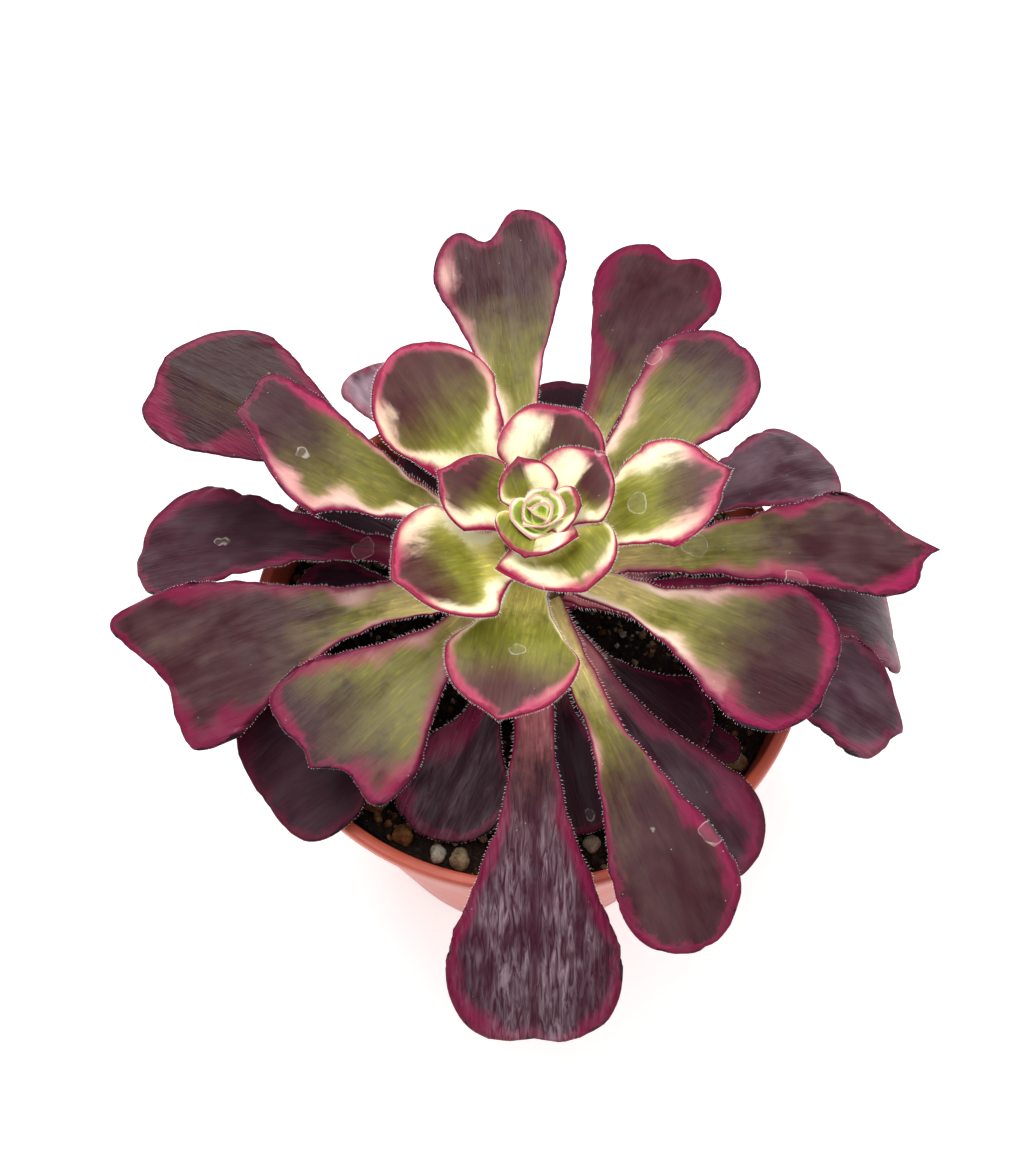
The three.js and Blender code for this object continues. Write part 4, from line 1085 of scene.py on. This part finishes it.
def make_soil():
    """The mix: clods and domes of crumbs on top, then the sides and underside of the solid."""
    sides, rings, crumbs = 300, 96, 1500
    draw = np.random.default_rng(41)
    hole = STEM_RADIUS + GAP
    wall = float(wall_inside(SOIL_TOP)) - GAP - 0.1
    radius, angle = np.meshgrid(np.linspace(wall, hole, rings + 1), np.arange(sides) * TURN / sides,
                                indexing="ij")
    x, y = radius * np.cos(angle), radius * np.sin(angle)
    z = soil_height(x, y)
    middles = scattered(draw, hole, wall, crumbs)
    size = draw.uniform(0.7, 2.3, crumbs) ** 1.3
    raised = np.zeros_like(z)
    for a, b, r in zip(*middles, size):
        near = 1 - ((x - a) ** 2 + (y - b) ** 2) / r ** 2
        raised = np.maximum(raised, 0.55 * r * np.sqrt(near.clip(0)))
    z = z + (raised - 0.5) * smooth((wall - radius) / 3) - 0.4
    foot = BASE_RADIUS - FOOT_WIDTH
    clear = FLOOR + GAP
    deep = SOIL_TOP - STEM_DEPTH - GAP
    floor = np.array([
        [0, clear], [HUB_RADIUS + 0.2, clear], [HUB_RADIUS + 1.7, clear + RECESS],
        [foot - 1.7, clear + RECESS], [foot - 0.2, clear], [INNER_BASE - GAP - 0.1, clear]])
    hole_wall = np.array([[hole, deep], [0, deep]])
    grid = np.concatenate([turned(floor, sides)[0], np.stack([x, y, z], -1).reshape(-1, 3),
                           turned(hole_wall, sides)[0]])
    points, faces, _ = weld(grid, grid_faces(len(grid) // sides - 1, sides, wrap=True))
    soil = make_piece("potting_mix", points, faces, soil_material(), ["soil"])
    turn_outwards(soil)
    sharpen(soil, 60)


def make_grit(material):
    """Loose grains on the mix: small lumpy balls, squashed and turned at random. Chips of bark are the
    long flat ones."""
    draw = np.random.default_rng(77)
    count = 2600
    x, y = scattered(draw, STEM_RADIUS + 1.5, float(wall_inside(SOIL_TOP)) - 1.4, count)
    kind = draw.uniform(0, 1, count)
    lot = np.where(kind < 0.62, draw.uniform(0.0, 0.36, count),
                   np.where(kind < 0.92, draw.uniform(0.4, 0.8, count), draw.uniform(0.85, 1, count)))
    # Brown porous grains lie thickest at the front left, tan ones at the left.
    front_left = (x < -20) & (y < -25)
    lot = np.where(front_left & (kind > 0.45), draw.uniform(0.42, 0.56, count), lot)
    size = draw.uniform(0.35, 1.0, count) ** 1.2 * np.where(lot > 0.4, 1.5, 1.1)
    ball, faces = ball_grid(5, 7)
    shape = ball[None] * draw.uniform(0.75, 1.25, (count, len(ball), 1))
    stretch = draw.uniform(0.55, 1.0, (count, 1, 3))
    stretch[:, 0, 0] = np.where(lot < 0.36, draw.uniform(0.9, 1.9, count), stretch[:, 0, 0])
    stretch[:, 0, 2] = np.where(lot < 0.36, 0.45, stretch[:, 0, 2])
    shape = shape * stretch * size[:, None, None]
    spin = draw.uniform(0, TURN, count)[:, None]
    tip = draw.normal(0, 0.45, count)[:, None]
    a, b, c = np.moveaxis(shape, -1, 0)
    a, c = a * np.cos(tip) - c * np.sin(tip), a * np.sin(tip) + c * np.cos(tip)
    points = np.stack([a * np.cos(spin) - b * np.sin(spin) + x[:, None],
                       a * np.sin(spin) + b * np.cos(spin) + y[:, None],
                       c + (soil_height(x, y) - 0.2 + 0.3 * size)[:, None]], -1).reshape(-1, 3)
    every = [[corner + start for corner in face] for start in range(0, len(points), len(ball))
             for face in faces]
    lots = {"lot": np.repeat(lot, len(ball))}
    turn_outwards(make_piece("loose_grit", points, every, material, values=lots))


# ---- stem ----


def make_stem():
    """The stem's turned surface with a shallow crescent scar where each fallen leaf grew, spaced by the
    same spiral, and fine lengthwise wrinkles."""
    rows, sides = 260, 96
    bottom = SOIL_TOP - STEM_DEPTH
    profile = np.array([[0, bottom], [STEM_RADIUS - 3, bottom], [STEM_RADIUS - 1, bottom + 3],
                        [STEM_RADIUS - 0.6, SOIL_TOP - 8], [STEM_RADIUS, SOIL_TOP + 4],
                        [STEM_RADIUS, STEM_SHOULDER], [float(stem_radius(STEM_TOP)), STEM_TOP],
                        [0, STEM_TOP]])
    run = np.concatenate([[0], np.cumsum(np.linalg.norm(np.diff(profile, axis=0), axis=1))])
    at = np.linspace(0, run[-1], rows + 1)
    radius, height = np.interp(at, run, profile[:, 0]), np.interp(at, run, profile[:, 1])
    angle = np.arange(sides) * TURN / sides
    radius, turn = np.meshgrid(radius, angle, indexing="ij")
    height = np.repeat(height[:, None], sides, 1)
    scar = np.zeros_like(height)
    for index in range(38, 90):
        level = float(attached_at(index)) + 1.5
        if level < SOIL_TOP - 2:
            break
        heading = math.radians(FIRST_AZIMUTH + GOLDEN_ANGLE * index)
        apart = (turn - heading + math.pi) % TURN - math.pi
        below = height - level + 1.2 * apart ** 2
        scar = np.maximum(scar, np.exp(-(apart / 0.5) ** 2 - (below / 0.55) ** 2))
    wrinkle = 0.12 * waves(9 * turn + 0.2 * height, 5, 3) + 0.1 * waves(height * 1.5, 8, 3)
    body = (radius > 3).astype(float)
    radius = radius + body * (0.22 * scar - 0.25 + wrinkle * 0.6)
    grid = round_z(radius, turn, height)
    grid[..., 0] += STEM_LEAN * np.maximum(0, height - LEAN_START)
    points, faces, first = weld(grid.reshape(-1, 3), grid_faces(rows, sides, wrap=True))
    piece = make_piece("woody_stem", points, faces, bark_material(), ["stem"],
                       {"scar": scar.ravel()[first]})
    turn_outwards(piece)


# ---- studio ----


def aim(target, away, roll, distance):
    """A camera or lamp matrix that looks back along away to target, turned by roll about its axis."""
    back = np.array(away) / np.linalg.norm(away)
    right = np.cross([0, 0, 1], back)
    right /= np.linalg.norm(right)
    up = np.cross(back, right)
    turned_right = right * math.cos(roll) - up * math.sin(roll)
    turned_up = right * math.sin(roll) + up * math.cos(roll)
    place = np.array(target) + back * distance
    return Matrix([[*row, at] for row, at in zip(np.stack([turned_right, turned_up, back], 1), place)]
                  + [[0, 0, 0, 1]])


def make_lamp(name, target, away, distance, size, power, colour):
    lamp = bpy.data.lights.new(name, "AREA")
    lamp.shape = "DISK"
    lamp.size = size
    lamp.energy = power
    lamp.color = colour
    piece = bpy.data.objects.new(name, lamp)
    bpy.context.scene.collection.objects.link(piece)
    piece.matrix_world = aim(target, away, 0, distance)


def make_studio():
    """The camera, a pale floor, an even sky and three soft lamps."""
    scene = bpy.context.scene
    elevation, roll, distance = math.radians(61.55), math.radians(1.25), 0.3824
    camera = bpy.data.objects.new("camera", bpy.data.cameras.new("camera"))
    scene.collection.objects.link(camera)
    camera.data.lens = 46.39
    camera.data.sensor_width = 36
    camera.data.clip_start = 0.01
    camera.matrix_world = aim([-0.00383, 0.01096, 0.105], [0, -math.cos(elevation), math.sin(elevation)],
                              roll, distance)
    scene.camera = camera

    half, rows, sunk = 12.0, 24, 0.0002
    across = np.linspace(-half, half, rows + 1)
    x, y = np.meshgrid(across, across, indexing="ij")
    mesh = bpy.data.meshes.new("floor")
    points = np.stack([x, y, 0 * x - sunk], -1).reshape(-1, 3)
    mesh.from_pydata(points.tolist(), [], grid_faces(rows, rows)[:, ::-1].tolist())
    material, graph = new_material("pale_floor", {"Roughness": 0.7, "Specular IOR Level": 0.2,
                                                  "Emission Color": (1, 1, 1, 1), "Emission Strength": 0.6})
    cloud = graph.noise(graph.place(), 3.0, 2.0)
    graph.put("Base Color", graph.mix(cloud, (0.78, 0.778, 0.774, 1), (0.8, 0.798, 0.795, 1)))
    mesh.materials.append(material)
    floor = bpy.data.objects.new("floor", mesh)
    scene.collection.objects.link(floor)

    world = bpy.data.worlds.new("studio")
    world.use_nodes = True
    sky = world.node_tree.nodes["Background"]
    sky.inputs[0].default_value = (1.0, 1.0, 1.0, 1)
    sky.inputs[1].default_value = 0.38
    scene.world = world
    make_lamp("overhead", [0, 0, 0.1], [0.05, 0.1, 1.0], 1.2, 1.2, 9, (1.0, 1.0, 1.0))
    make_lamp("key", [0, 0, 0.12], [-0.45, 0.5, 1.0], 1.6, 0.7, 14, (1.0, 0.985, 0.96))
    make_lamp("fill", [0, 0, 0.1], [0.9, -0.8, 1.1], 1.8, 1.0, 3, (0.97, 0.98, 1.0))
    scene.view_settings.view_transform = "Standard"


make_studio()
make_leaves()
make_crown()
make_pot()
GRIT = grit_material()
make_soil()
make_grit(GRIT)
make_stones(GRIT)
make_stem()
